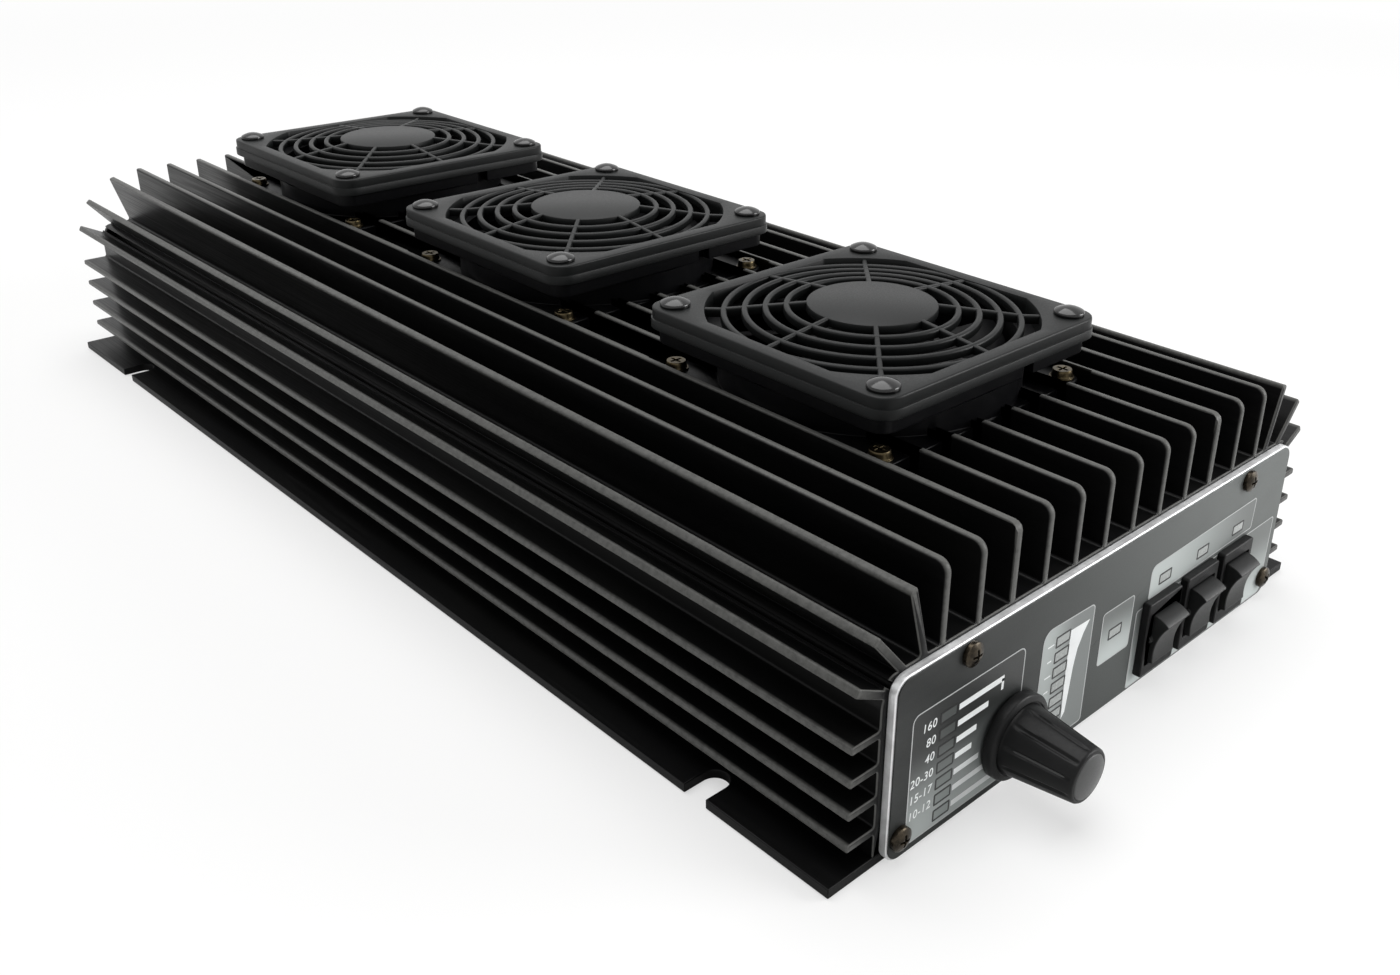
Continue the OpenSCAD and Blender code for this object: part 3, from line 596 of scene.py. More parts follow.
def build_patches(nodes, given):
    """Soft patches, used as the traces of handling and as the mottle of the housing's painted edge highlight;
    the amount tells how far they spread.
    """
    place = stretched(nodes, given["Stretch"])
    cloud = {"Vector": place, "Scale": given["Scale"], "Detail": 5.0, "Roughness": 0.6}
    noise = nodes.add("ShaderNodeTexNoise", cloud).outputs["Fac"]
    low = nodes.math("MULTIPLY", nodes.math("SUBTRACT", 1.0, given["Amount"]), 0.62)
    mask = nodes.add("ShaderNodeMapRange", {"Value": noise, "From Min": low, "From Max": 0.8})
    return {"Mask": mask.outputs["Result"]}


def build_fade(nodes, given):
    """A smooth step from 0 to 1 along a direction."""
    place = nodes.add("ShaderNodeTexCoord").outputs["Object"]
    product = {0: place, 1: given["Direction"]}
    along = nodes.add("ShaderNodeVectorMath", product, operation="DOT_PRODUCT").outputs["Value"]
    limits = {"Value": along, "From Min": given["Start"], "From Max": given["End"]}
    fade = nodes.add("ShaderNodeMapRange", limits, interpolation_type="SMOOTHSTEP")
    return {"Mask": fade.outputs["Result"]}


def make_groups():
    """The three shader groups, by name."""
    number, vector = "NodeSocketFloat", "NodeSocketVector"
    grain = [("Stretch", vector, (1, 1, 1)), ("Scale", number, 900.0)]
    grain += [("Roughness low", number, 0.3), ("Roughness high", number, 0.5)]
    relief = [("Roughness", number), ("Height", number)]
    patches = [("Stretch", vector, (1, 1, 1)), ("Scale", number, 60.0), ("Amount", number, 0.5)]
    fade = [("Direction", vector, (0, 0, 1)), ("Start", number, 0.0), ("End", number, 1.0)]
    mask = [("Mask", number)]
    return {
        "grain": shader_group("Surface grain", grain, relief, build_grain),
        "patches": shader_group("Handling patches", patches, mask, build_patches),
        "fade": shader_group("Position fade", fade, mask, build_fade),
    }


class Finish:
    """A Principled material being built."""

    def __init__(self, name, **constants):
        self.material = bpy.data.materials.new(name)
        self.material.use_nodes = True
        self.nodes = Nodes(self.material.node_tree)
        self.shader = self.material.node_tree.nodes["Principled BSDF"]
        for label, value in constants.items():
            self.shader.inputs[label.replace("_", " ")].default_value = value

    def group(self, kind, **values):
        made = self.nodes.add("ShaderNodeGroup", node_tree=GROUPS[kind])
        for label, value in values.items():
            self.nodes.put(made.inputs[label.replace("_", " ")], value)
        return made.outputs

    def mix(self, mask, a, b):
        """Colour a where the mask is 0 and b where it is 1."""
        made = self.nodes.add("ShaderNodeMix", data_type="RGBA")
        self.nodes.put(made.inputs["Factor"], mask)
        colours = [s for s in made.inputs if s.type == "RGBA"]
        for socket, value in zip(colours, (a, b)):
            self.nodes.put(socket, (*value, 1) if isinstance(value, (tuple, list)) else value)
        return next(s for s in made.outputs if s.type == "RGBA")

    def attribute(self, name):
        return self.nodes.add("ShaderNodeAttribute", attribute_name=name).outputs["Fac"]

    def colour(self, value):
        self.nodes.put(self.shader.inputs["Base Color"], value)

    def rough(self, value):
        self.nodes.put(self.shader.inputs["Roughness"], value)

    def bump(self, height, distance, strength=1.0):
        values = {"Height": height, "Distance": distance * MM, "Strength": strength}
        self.nodes.put(self.shader.inputs["Normal"], self.nodes.add("ShaderNodeBump", values).outputs[0])


def surface(name, base, second, rough, grain, depth, patch, amount, stretch=(1, 1, 1), **constants):
    """A finish with grain in its gloss and relief, and patches of a second colour."""
    made = Finish(name, **constants)
    low, high = rough
    grained = made.group("grain", Stretch=stretch, Scale=grain, Roughness_low=low, Roughness_high=high)
    patched = made.group("patches", Stretch=(1, 1, 1), Scale=patch, Amount=amount)
    made.colour(made.mix(patched["Mask"], base, second))
    made.rough(grained["Roughness"])
    made.bump(grained["Height"], depth)
    return made.material


def rgb(value):
    return tuple(value)[:3]


def scaled(colour_value, by):
    return tuple(by * v for v in colour_value)


def anodised_finish(housing):
    """Black anodised aluminium with lines along its length, faint patches of dust, and a painted highlight on
    the rounded edges that is mottled at random.
    """
    made = Finish("black_anodised_aluminium", Specular_IOR_Level=0.12)
    lines = made.group("grain", Stretch=(1, 0.012, 1), Scale=2600.0, Roughness_low=0.30, Roughness_high=0.46)
    dust = made.group("patches", Stretch=(1, 0.25, 1), Scale=55.0, Amount=0.35)
    highlight_mottle = made.group("patches", Stretch=(1, 1, 1), Scale=700.0, Amount=0.75)
    # Painted highlight: the edge attribute, mottled at random, brings in the Edge colour on the rounded edges
    rim = made.nodes.math("MULTIPLY", made.attribute("edge"), made.nodes.math("ADD", highlight_mottle["Mask"], 0.55))
    sides = made.mix(dust["Mask"], rgb(housing.metal), (0.005, 0.005, 0.0047))
    made.colour(made.mix(made.nodes.math("MINIMUM", rim, 1.0), sides, rgb(housing.edge)))
    made.rough(lines["Roughness"])
    made.bump(lines["Height"], 0.012, 0.6)
    return made.material


def film_finish(front):
    """The panel's printed film, which lightens towards the right, with faint smudges."""
    made = Finish("printed_film", Specular_IOR_Level=0.25)
    across = made.group("fade", Direction=(1, 0, 0.25), Start=-0.06, End=0.075)
    grained = made.group("grain", Stretch=(1, 1, 1), Scale=3000.0, Roughness_low=0.42, Roughness_high=0.52)
    smudge = made.group("patches", Stretch=(1, 1, 2), Scale=38.0, Amount=0.3)
    shade = made.mix(across["Mask"], rgb(front.film_dark), rgb(front.film_light))
    made.colour(made.mix(made.nodes.math("MULTIPLY", smudge["Mask"], 0.3), shade, (0.07, 0.073, 0.072)))
    made.rough(grained["Roughness"])
    made.bump(grained["Height"], 0.004)
    return made.material


def make_materials(scene):
    """Every finish, by name."""
    housing, front, fans, knob = scene.amp_housing, scene.amp_front, scene.amp_fans, scene.amp_knob
    # Key, name, colour, colour of the patches,
    # lowest and highest roughness, scale and depth of the grain, scale and amount of the patches, the rest
    table = (
        # The rounded rim of the base tray gets the Edge colour as a painted highlight
        ("anodised_rim", "painted_edge_highlight", rgb(housing.edge), (0.05, 0.05, 0.05),
         (0.35, 0.5), 1500, 0.01, 500, 0.5, {"Metallic": 0.25}),
        ("bare", "brushed_aluminium", (0.86, 0.865, 0.87), (0.6, 0.6, 0.6),
         (0.36, 0.5), 1800, 0.006, 260, 0.3, {"stretch": (0.03, 1, 1), "Metallic": 0.6}),
        ("print_white", "white_print", rgb(front.print_white), (0.8, 0.82, 0.82),
         (0.4, 0.5), 2500, 0.002, 300, 0.5, {}),
        ("print_line", "outline_print", (0.52, 0.53, 0.53), (0.42, 0.43, 0.43),
         (0.4, 0.5), 2500, 0.002, 60, 0.5, {}),
        ("print_dark", "dark_print", (0.006, 0.006, 0.006), (0.01, 0.01, 0.01),
         (0.4, 0.5), 2500, 0.002, 60, 0.5, {}),
        ("window", "window_plastic", (0.36, 0.38, 0.37), (0.3, 0.32, 0.31),
         (0.2, 0.3), 900, 0.004, 60, 0.5, {"Coat_Weight": 0.3}),
        ("screw", "bronzed_steel", (0.022, 0.018, 0.013), (0.09, 0.072, 0.05),
         (0.22, 0.4), 1200, 0.02, 420, 0.35, {"Metallic": 0.9}),
        ("zinc", "passivated_zinc", (0.05, 0.038, 0.018), (0.13, 0.105, 0.065),
         (0.25, 0.4), 1200, 0.01, 240, 0.5, {"Metallic": 1.0}),
        ("plated", "nickel_plating", (0.62, 0.61, 0.58), (0.5, 0.49, 0.46),
         (0.18, 0.3), 1600, 0.004, 140, 0.5, {"Metallic": 1.0}),
        ("brass", "brass", (0.72, 0.5, 0.2), (0.6, 0.4, 0.16),
         (0.22, 0.36), 1400, 0.004, 60, 0.5, {"Metallic": 1.0}),
        ("guard", "guard_plastic", rgb(fans.plastic), (0.008, 0.0088, 0.0088),
         (0.34, 0.46), 2600, 0.012, 70, 0.35, {"Specular_IOR_Level": 0.17}),
        ("rivet", "rivet_plastic", (0.004, 0.004, 0.0042), (0.008, 0.008, 0.0082),
         (0.12, 0.2), 900, 0.006, 120, 0.5, {"Specular_IOR_Level": 0.45}),
        ("fan", "fan_plastic", (0.003, 0.003, 0.0036), (0.006, 0.006, 0.0066),
         (0.3, 0.42), 2200, 0.008, 80, 0.3, {"Specular_IOR_Level": 0.12}),
        ("blade", "blade_plastic", (0.005, 0.005, 0.0055), (0.009, 0.009, 0.0095),
         (0.28, 0.4), 1500, 0.006, 70, 0.4, {"Specular_IOR_Level": 0.18}),
        ("knob", "knob_plastic", rgb(knob.plastic), (0.009, 0.009, 0.0092),
         (0.3, 0.44), 1900, 0.016, 150, 0.35, {"Specular_IOR_Level": 0.16}),
        ("knob_cap", "knob_cap_satin", rgb(knob.cap), (0.04, 0.041, 0.041),
         (0.34, 0.44), 2400, 0.006, 120, 0.3, {"Specular_IOR_Level": 0.4}),
        ("bezel", "switch_plastic", (0.004, 0.004, 0.0043), (0.007, 0.007, 0.007),
         (0.38, 0.5), 2600, 0.014, 160, 0.3, {"Specular_IOR_Level": 0.18}),
        ("rocker", "rocker_plastic", (0.009, 0.0095, 0.0095), (0.014, 0.0145, 0.0145),
         (0.34, 0.46), 2600, 0.012, 160, 0.35, {"Specular_IOR_Level": 0.25}),
        ("gland", "gland_plastic", (0.016, 0.016, 0.017), (0.03, 0.03, 0.03),
         (0.35, 0.5), 1500, 0.02, 110, 0.5, {}),
        ("insulator", "insulator_plastic", (0.78, 0.75, 0.66), (0.68, 0.65, 0.56),
         (0.35, 0.5), 900, 0.01, 60, 0.5, {}),
        ("board", "circuit_board", (0.02, 0.12, 0.05), (0.05, 0.2, 0.09),
         (0.25, 0.4), 700, 0.01, 260, 0.5, {"Coat_Weight": 0.4}),
        ("toroid", "powder_core", (0.42, 0.05, 0.03), (0.3, 0.035, 0.02),
         (0.3, 0.5), 900, 0.02, 150, 0.5, {}),
        ("relay", "relay_plastic", (0.05, 0.13, 0.36), (0.04, 0.1, 0.28),
         (0.3, 0.45), 900, 0.01, 60, 0.5, {}),
        ("ferrite", "ferrite", (0.045, 0.045, 0.048), (0.08, 0.08, 0.085),
         (0.5, 0.7), 900, 0.03, 200, 0.5, {}),
        ("transistor", "transistor_cap", (0.76, 0.72, 0.62), (0.66, 0.6, 0.46),
         (0.35, 0.5), 900, 0.006, 60, 0.5, {}),
        ("fuse", "fuse_plastic", (0.05, 0.26, 0.07), (0.04, 0.2, 0.05),
         (0.15, 0.3), 900, 0.006, 60, 0.5, {}),
    )
    made = {"anodised": anodised_finish(housing), "film": film_finish(front)}
    for key, *columns, rest in table:
        made[key] = surface(*columns, **rest)
    return made


def faded_print(name, start, end, top, bottom, direction=(0, 0, 1)):
    """A printed area that fades from its bottom colour to its top colour between two places."""
    made = Finish(name)
    fade = made.group("fade", Direction=direction, Start=start * MM, End=end * MM)
    grained = made.group("grain", Scale=3000.0, Roughness_low=0.4, Roughness_high=0.5)
    made.colour(made.mix(fade["Mask"], bottom, top))
    made.rough(grained["Roughness"])
    made.bump(grained["Height"], 0.003)
    return made.material


# Housing

WALL_X, SIDE_FIN_X = 81.5, 89.7
FOOT_Z = 2.5
SIDE_FIN_ZS = [9.5 + 8.1 * i for i in range(4)]
SIDE_FIN_HALF = 0.9
SCREW_CHANNEL = (77.6, 43.2)
CHANNEL_R, CHANNEL_WALL_R = 1.9, 3.6
FIN_TIPS = [(SIDE_FIN_X, z) for z in SIDE_FIN_ZS] + [(88.9, 47.2), (84.2, 56.8), (74.0, 64.0)]
TIP_REACH = 1.15
# The inside: a step above the base plate's edge, the side wall, and the corner under the top wall
INSIDE = [(-71.1, FOOT_Z), (-71.1, 11, 0.5), (-74.5, 11, 0.5), (-74.5, 39, 1.5)]
FIN_SUNK = 0.6
END_ROUND, END_STEP = 0.62, 0.18
SHADE_ANGLE = 40


def tipped(corners, back=1.3):
    """A fin's four corners (root, tip, tip, root), with a point on each flank a little behind its tip."""
    flanks = []
    for root, tip in ((0, 1), (3, 2)):
        end = Vector(corners[tip][:2])
        behind = end + (Vector(corners[root][:2]) - end).normalized() * back
        flanks.append([corners[root], (*behind, 0), corners[tip]])
    return flanks[0] + flanks[1][::-1]


def sharp_arc(*values):
    """An arc as corners without a radius."""
    return [(x, z, 0) for x, z in arc(*values)]


def right_outline():
    """Corners of the housing's right half, from its foot up to the middle of its top."""
    corners = [(WALL_X, FOOT_Z, 0.2)]
    for z in SIDE_FIN_ZS:
        low, high = z - SIDE_FIN_HALF, z + SIDE_FIN_HALF
        tips = [(SIDE_FIN_X, low, 0.5), (SIDE_FIN_X, high, 0.5)]
        corners += tipped([(WALL_X, low, 0.7), *tips, (WALL_X, high, 0.7)])
    corners += sharp_arc(73.5, 39, 8, 2, 16, 3)
    corners += tipped([(81.02, 41.9, 0.5), (89.35, 46.25, 0.5), (88.42, 48.03, 0.5), (81.06, 44.18, 0.3)])
    corners += sharp_arc(*SCREW_CHANNEL, CHANNEL_WALL_R, 20, 27, 2)
    corners += sharp_arc(*SCREW_CHANNEL, CHANNEL_R, 15.75, -297.75, 24)
    corners += sharp_arc(*SCREW_CHANNEL, CHANNEL_WALL_R, 51, 90, 5)
    corners += tipped([(77.24, 46.78, 0.3), (84.95, 56.16, 0.5), (83.41, 57.43, 0.5), (74.76, 46.95, 0.6)])
    corners += tipped([(70.29, 47, 0.8), (74.95, 63.78, 0.55), (73.02, 64.32, 0.55), (68.22, 47, 0.8)])
    return corners


def nose_heights(radius):
    """(distance from the front, height below the top) of stations round the fins' noses."""
    turns = [math.radians(15 * i) for i in range(7)]
    return [(radius * (1 - math.cos(t)), radius * (1 - math.sin(t))) for t in turns]


def housing_mesh(sizes):
    """The extrusion without its upright fins: its outline drawn from the front to the rear."""
    right = right_outline()
    outline = rounded(right + mirrored(right) + INSIDE + mirrored(INSIDE), 3)
    nose = sizes.fin_nose / MM
    stations = [(FRONT_Y, 0.3, nose), (FRONT_Y + 0.1, 0.12, nose - 0.7), (FRONT_Y + 0.3, 0, nose - 1.3)]
    stations += [(FRONT_Y + dy, 0, dz) for dy, dz in nose_heights(nose) if dy > 0.35]
    stations += [(REAR_Y - 0.3, 0, 0), (REAR_Y - 0.1, 0.12, 0), (REAR_Y, 0.3, 0)]
    rings = []
    for y, depth, drop in stations:
        rings.append([(x, y, min(z, FIN_TOP - drop)) for x, z in inset(outline, depth)])
    bm = bmesh.new()
    made = skin(bm, rings)
    # The edge attribute paints a highlight: 0.8 round the side fins' tips, 1 on the rings that round the
    # front end
    layer = bm.verts.layers.float["edge"]
    for row in made:
        for vert in row:
            x, z = abs(vert.co.x) / MM, vert.co.z / MM
            if any(math.hypot(x - a, z - b) < TIP_REACH for a, b in FIN_TIPS):
                vert[layer] = 0.8
    for vert in made[1] + made[2]:
        vert[layer] = 1
    return to_mesh("housing", bm, SHADE_ANGLE)


def add_root(bm, sizes):
    """A fin's flared foot, with a fillet on either side."""
    half, top, root = sizes.fin_thickness / MM / 2, sizes.core_top / MM, sizes.root_round / MM
    right = [(half + root, top - 0.4), (half + root, top)]
    for t in (math.radians(22.5 * i) for i in range(1, 4)):
        right.append((half + root - root * math.sin(t), top + root - root * math.cos(t)))
    right.append((half - 0.2, top + root))
    outline = right + mirrored(right)
    skin(bm, [[(a, y, b) for a, b in outline] for y in (FRONT_Y + 0.2, REAR_Y - 0.2)])


def blade_mesh(sizes, notched):
    """One upright fin, with the pockets that the fans sit in if it is notched."""
    foot = sizes.core_top / MM - FIN_SUNK
    corners = [(FRONT_Y, foot, 0), (REAR_Y, foot, 0), (REAR_Y, FIN_TOP, 0.6)]
    if notched:
        half = sizes.pocket_along / MM / 2
        for y in reversed(FAN_YS):
            corners += [(y + half, FIN_TOP, 0.5), (y + half, FAN_SEAT, 0.3)]
            corners += [(y - half, FAN_SEAT, 0.3), (y - half, FIN_TOP, 0.5)]
    corners += [(FRONT_Y, FIN_TOP, sizes.fin_nose / MM)]
    outline = rounded(corners, 6)
    half, round_off = sizes.fin_thickness / MM / 2, sizes.edge_round / MM
    bm = bmesh.new()
    # Distance from the fin's middle, share of the rounding that the outline is moved in by, strength of the
    # painted edge highlight
    steps = [(half, 1.0, 0), (half - round_off * 0.07, 0.62, 0)]
    steps += [(half - round_off * 0.3, 0.29, 0.45), (half - round_off, 0, 1)]
    rings, values = [], []
    for sign, order in ((-1, steps), (1, reversed(steps))):
        for x, back, value in order:
            rings.append([(sign * x, y, z) for y, z in inset(outline, round_off * back)])
            values.append(value)
    skin(bm, rings, values)
    add_root(bm, sizes)
    return to_mesh("fin_blade", bm, SHADE_ANGLE)


def shaved_blade_mesh(sizes):
    """The fin beside the fans: whole along its length, and thinner next to each fan."""
    half, round_off = sizes.fin_thickness / MM / 2, sizes.edge_round / MM
    foot = sizes.core_top / MM - FIN_SUNK
    place = sizes.fin_pitch / MM * 3.5
    face = sizes.pocket_across / MM / 2 - place
    side = [(half, foot), (half, FAN_SEAT - 0.01), (half, FAN_SEAT + 0.01)]
    side += arc(half - round_off, FIN_TOP - round_off, round_off, 0, 90, 6)
    profile = side + mirrored(side)
    reach = sizes.pocket_along / MM / 2
    nose = sizes.fin_nose / MM
    stations = [(FRONT_Y, END_ROUND, nose), (FRONT_Y + END_STEP, END_STEP, nose - 1)]
    stations += [(FRONT_Y + END_ROUND, 0, nose - 1.8)]
    stations += [(FRONT_Y + dy, 0, dz) for dy, dz in nose_heights(nose) if dy > 0.7]
    for y in FAN_YS:
        ends = (y - reach, y - reach + 0.01, y + reach - 0.01, y + reach)
        stations += [(end, 0, 0) for end in ends]
    stations += [(REAR_Y - END_ROUND, 0, 0), (REAR_Y - END_STEP, END_STEP, END_STEP)]
    stations += [(REAR_Y, END_ROUND, END_ROUND)]
    bm = bmesh.new()
    rows = []
    for y, depth, drop in stations:
        beside = any(abs(y - fan) < reach - 0.005 for fan in FAN_YS)
        row = []
        for x, z in inset(profile, depth) if depth else profile:
            z = min(z, FIN_TOP - drop)
            row.append((max(x, face) if beside and z > FAN_SEAT else x, y, z))
        rows.append(row)
    made = skin(bm, rows)
    # The edge attribute paints a highlight along the crest, and on the rounded ends and the front nose
    layer = bm.verts.layers.float["edge"]
    for k, row in enumerate(made):
        for vert, (x, z) in zip(row, profile):
            near = z > FIN_TOP - round_off * 0.35
            vert[layer] = 1.0 if near else (0.45 if z > FIN_TOP - round_off * 0.75 else 0.0)
            if stations[k][1] > 0.1 or (k < 3 and z > FAN_SEAT + 1):
                vert[layer] = 1.0
    add_root(bm, sizes)
    return to_mesh("shaved_blade", bm, SHADE_ANGLE)


def fins_mesh(sizes):
    """All upright fins: the middle ones cut for the fans, the next pair shaved, the outer ones whole."""
    pitch = sizes.fin_pitch
    half = sizes.pocket_across / 2
    thick = sizes.fin_thickness / 2
    reach = [(i + 0.5) * pitch for i in range(sizes.fin_count // 2)]
    cut = [x for x in reach if x + thick < half]
    whole = [x for x in reach if x - thick >= half]
    rows = [(True, 2 * len(cut), -cut[-1])]
    if whole:
        rows += [(False, len(whole), whole[0]), (False, len(whole), -whole[-1])]
    parts = []
    for notched, count, first in rows:
        values = {"Count": count, "Pitch": pitch, "First place": first, "Material": MATERIALS["anodised"]}
        parts.append(run_tree("fin_rows", blade_mesh(sizes, notched), TREES["row"], values))
    for x in reach:
        if x + thick >= half > x - thick:
            for side in (1, -1):
                blade = shaved_blade_mesh(sizes)
                blade.materials.append(MATERIALS["anodised"])
                blade.transform(Matrix.Diagonal((side, 1, 1, 1)) @ Matrix.Translation((x, 0, 0)))
                if side < 0:
                    blade.flip_normals()
                parts.append(blade)
    made = joined("top_fins", parts)
    soften(made, SHADE_ANGLE)
    return made


class AMP_OT_housing(bpy.types.Operator):
    """Builds the finned housing and its base plate"""

    bl_idname = "amp.housing"
    bl_label = "Housing"

    def execute(self, context):
        sizes = context.scene.amp_housing
        metal, slot = MATERIALS["anodised"], "black_anodised"
        place_piece("housing", housing_mesh(sizes), metal, stands_for=["heatsink"], slot=slot)
        place_piece("top_fins", fins_mesh(sizes), metal, slot=slot)
        # The base tray's rounded rim is painted with the edge highlight colour
        dressed("base_plate", "base_tray", 0.25, "anodised", slot, rim="anodised_rim")
        dressed("base_screws", "base_screw_set", 0.1, "plated", "plated_metal")
        return {"FINISHED"}


# Front panel

PRINT_BACK, PRINT_THICK, LAYER_STEP = 0.01, 0.02, 0.012
BAND_ZS = [5.4 + 4.22 * i for i in range(7)]
BAND_ENDS = [-45.5, -48.5, -51, -53.9, -52.7, -49.2, -44.2]
BAND_X = -62.7
BAR_LEFT = -59.4
LEVEL_ZS = [5.8 + 4.15 * i for i in range(7)]
LEVEL_X = -22.5
WEDGE = [(-19.3, 6.9), (-18.1, 8.4), (-17.7, 11.5), (-17.4, 14.6), (-16.9, 20.3), (-16.0, 25), (-14.2, 28.7)]
WEDGE += [(-12.2, 31.4), (-19.7, 31.6), (-19.9, 21.8)]
STATUS_Z = 29.3
SINGLE_WINDOW = (-0.06, 22.6)
BAND_NUMBERS = ["160", "80", "40", "20-30", "15-17", "10-12"]
NUMBERS_RIGHT = -66.6


def printed(bm, outline, layer):
    """A printed shape, as a thin flat piece on the film. Higher layers lie on lower ones."""
    front, back = FILM_Y - LAYER_STEP * layer - PRINT_THICK, FILM_Y + PRINT_BACK
    skin(bm, [[(x, y, z) for x, z in outline] for y in (back, front)])


def outline_band(bm, outline, width, layer):
    """A printed line along a closed outline."""
    inner = inset(outline, width)
    front, back = FILM_Y - LAYER_STEP * layer - PRINT_THICK, FILM_Y + PRINT_BACK
    rings = ((outline, back), (outline, front), (inner, front), (inner, back))
    tube(bm, [[(x, y, z) for x, z in points] for points, y in rings])


def number_mesh(text, middle_z, height, layer):
    """A printed number beside the band windows, whose middle is at middle_z."""
    curve = bpy.data.curves.new("number_" + text, "FONT")
    curve.body = text
    curve.size = height * 1.38 * MM
    curve.shear = 0.08
    curve.offset = 0.02 * MM
    curve.extrude = 0.01 * MM
    curve.align_x = "RIGHT"
    curve.align_y = "CENTER"
    curve.space_character = 1.1
    holder = bpy.data.objects.new("number", curve)
    bpy.context.scene.collection.objects.link(holder)
    mesh = evaluated(holder, "number_" + text)
    turn = Matrix.Rotation(math.radians(90), 4, "X")
    squeeze = Matrix.Diagonal((0.95, 1, 1, 1))
    where = Vector((NUMBERS_RIGHT, FILM_Y - LAYER_STEP * layer - 0.01, middle_z)) * MM
    mesh.transform(Matrix.Translation(where) @ turn @ squeeze)
    return mesh


class AMP_OT_front(bpy.types.Operator):
    """Builds the front panel, its printed film, its windows and its screws"""

    bl_idname = "amp.front"
    bl_label = "Front panel"

    def execute(self, context):
        look = context.scene.amp_front
        dressed("front_panel", "panel_plate", 0.22, "bare", "bare_aluminium")
        dressed("front_label", "panel_film", 0.06, "film", "printed_film", rim="print_line")
        self.print_areas(look)
        self.print_windows()
        self.print_white(look)
        for node in ("band_windows", "level_windows", "status_windows"):
            dressed(node, node + "_clear", 0.06, "window", "clear_window")
        self.screws()
        return {"FINISHED"}

    def print_areas(self, look):
        """Pale areas that fade into the film, with a line round each."""
        dark, light, pale = rgb(look.film_dark), rgb(look.film_light), rgb(look.print_pale)
        across = (1, 0, 0)
        # Name, corners, then the fade's start, its end, the colours at its end and start, and its direction
        areas = (
            ("band", [(-74.4, 2.6, 2), (-37, 2.6, 2), (-37, 35.6, 2), (-74.4, 35.6, 2)],
             (1, 27, dark, scaled(pale, 0.8))),
            ("level", [(-30.7, 2.2, 1), (-10.4, 2.2, 1), (-10.5, 35, 1.5), (-30.3, 35.6, 3)],
             (-30, -17, scaled(pale, 0.36), scaled(pale, 0.85), across)),
            ("single", [(-6.3, 15.2, 1), (7.1, 15.2, 1), (7.1, 29.9, 1), (-6.3, 29.9, 1)],
             (16, 29, light, pale)),
            ("status", [(13.6, 25.2, 0.8), (64, 26.4, 0.8), (64.4, 35.6, 1), (13.6, 34.6, 2)],
             (10, 66, light, pale, across)),
            ("switch", [(9, 1.4, 0.8), (77, 1.4, 2), (77, 25.4, 1), (9, 24, 1)],
             (1, 22, light, scaled(pale, 1.15))),
        )
        frames = bmesh.new()
        for name, corners, fade in areas:
            outline = rounded(corners, 5)
            bm = bmesh.new()
            printed(bm, outline, 1)
            material = faded_print(f"{name}_area", *fade)
            place_piece(f"print_area_{name}", to_mesh(name, bm), material, slot="printed_film")
            outline_band(frames, outline, look.line_width / MM, 2)
        place_piece("print_frames", to_mesh("frames", frames), MATERIALS["print_line"], slot="printed_film")

    def print_windows(self):
        """Dark outlines round the windows, and the faces inside them."""
        frames, fill, tinted = bmesh.new(), bmesh.new(), bmesh.new()
        places = [(BAND_X, z) for z in BAND_ZS] + [(LEVEL_X, z) for z in LEVEL_ZS]
        places += [(switch.x + 1.6, STATUS_Z) for switch in SWITCHES] + [SINGLE_WINDOW]
        for x, z in places:
            outline_band(frames, rounded_rectangle(x, z, 5.7, 3.1, 0.35, 3), 0.48, 3)
            printed(tinted if x == BAND_X else fill, rounded_rectangle(x, z, 4.9, 2.3, 0.25, 3), 2)
        tint = faded_print("band_window_tint", 2, 27, (0.06, 0.066, 0.064), (0.27, 0.3, 0.29))
        for name, bm, material, slot in (
            ("print_window_frames", frames, MATERIALS["print_dark"], "printed_film"),
            ("print_window_faces", fill, MATERIALS["window"], "clear_window"),
            ("print_band_windows", tinted, tint, "clear_window"),
        ):
            place_piece(name, to_mesh(name, bm), material, slot=slot)

    def print_white(self, look):
        """White bars, the level wedge and the numbers."""
        bm = bmesh.new()
        wide = look.bar_width / MM
        for z, end in zip(BAND_ZS, BAND_ENDS):
            printed(bm, rounded_rectangle((BAR_LEFT + end) / 2, z, end - BAR_LEFT, wide, 0.1, 2), 3)
        left, right, top = BAND_ENDS[-1] - 0.8, BAND_ENDS[-1], BAND_ZS[-1]
        printed(bm, [(left, top - 2.9), (right, top - 2.9), (right, top), (left, top)], 3)
        printed(bm, WEDGE, 3)
        for i, z in enumerate(LEVEL_ZS):
            printed(bm, rounded_rectangle(-27.2, z, 1.6 if i % 2 else 2.4, 0.35, 0.1, 2), 3)
        meshes = [to_mesh("white", bm)]
        for text, z in zip(BAND_NUMBERS, reversed(BAND_ZS)):
            meshes.append(number_mesh(text, z, look.number_height / MM, 3))
        white = joined("white_print", meshes)
        place_piece("print_white_marks", white, MATERIALS["print_white"], slot="printed_film")

    def screws(self):
        """Cross-headed screws, each turned as it came to rest."""
        nodes = [f"front_screw_{k}" for k in range(1, 5)]
        seats = [(spot.x, FILM_Y, spot.z) for spot in map(middle, nodes)]
        head = cad_copy(nodes[0], 0.07)
        to_origin = Matrix.Translation(-Vector(seats[0]) * MM)
        head.transform(Matrix.Rotation(math.radians(90), 4, "X") @ to_origin)
        lean = (math.radians(-90), 0, 0)
        made = copies("panel_screws", head, seats, MATERIALS["screw"], lean, math.pi, seed=5)
        soften(made, 40)
        place_piece("panel_screws", made, None, stands_for=nodes, slot="dark_screw")


# Knob

GROOVE_HALF = 0.62
CAP_SUNK = 1.0


def about_knob(a, b, c):
    """A point of the knob: a and b across its axis, c out from the panel."""
    return (KNOB.x + a, KNOB_BACK - c, KNOB.z + b)


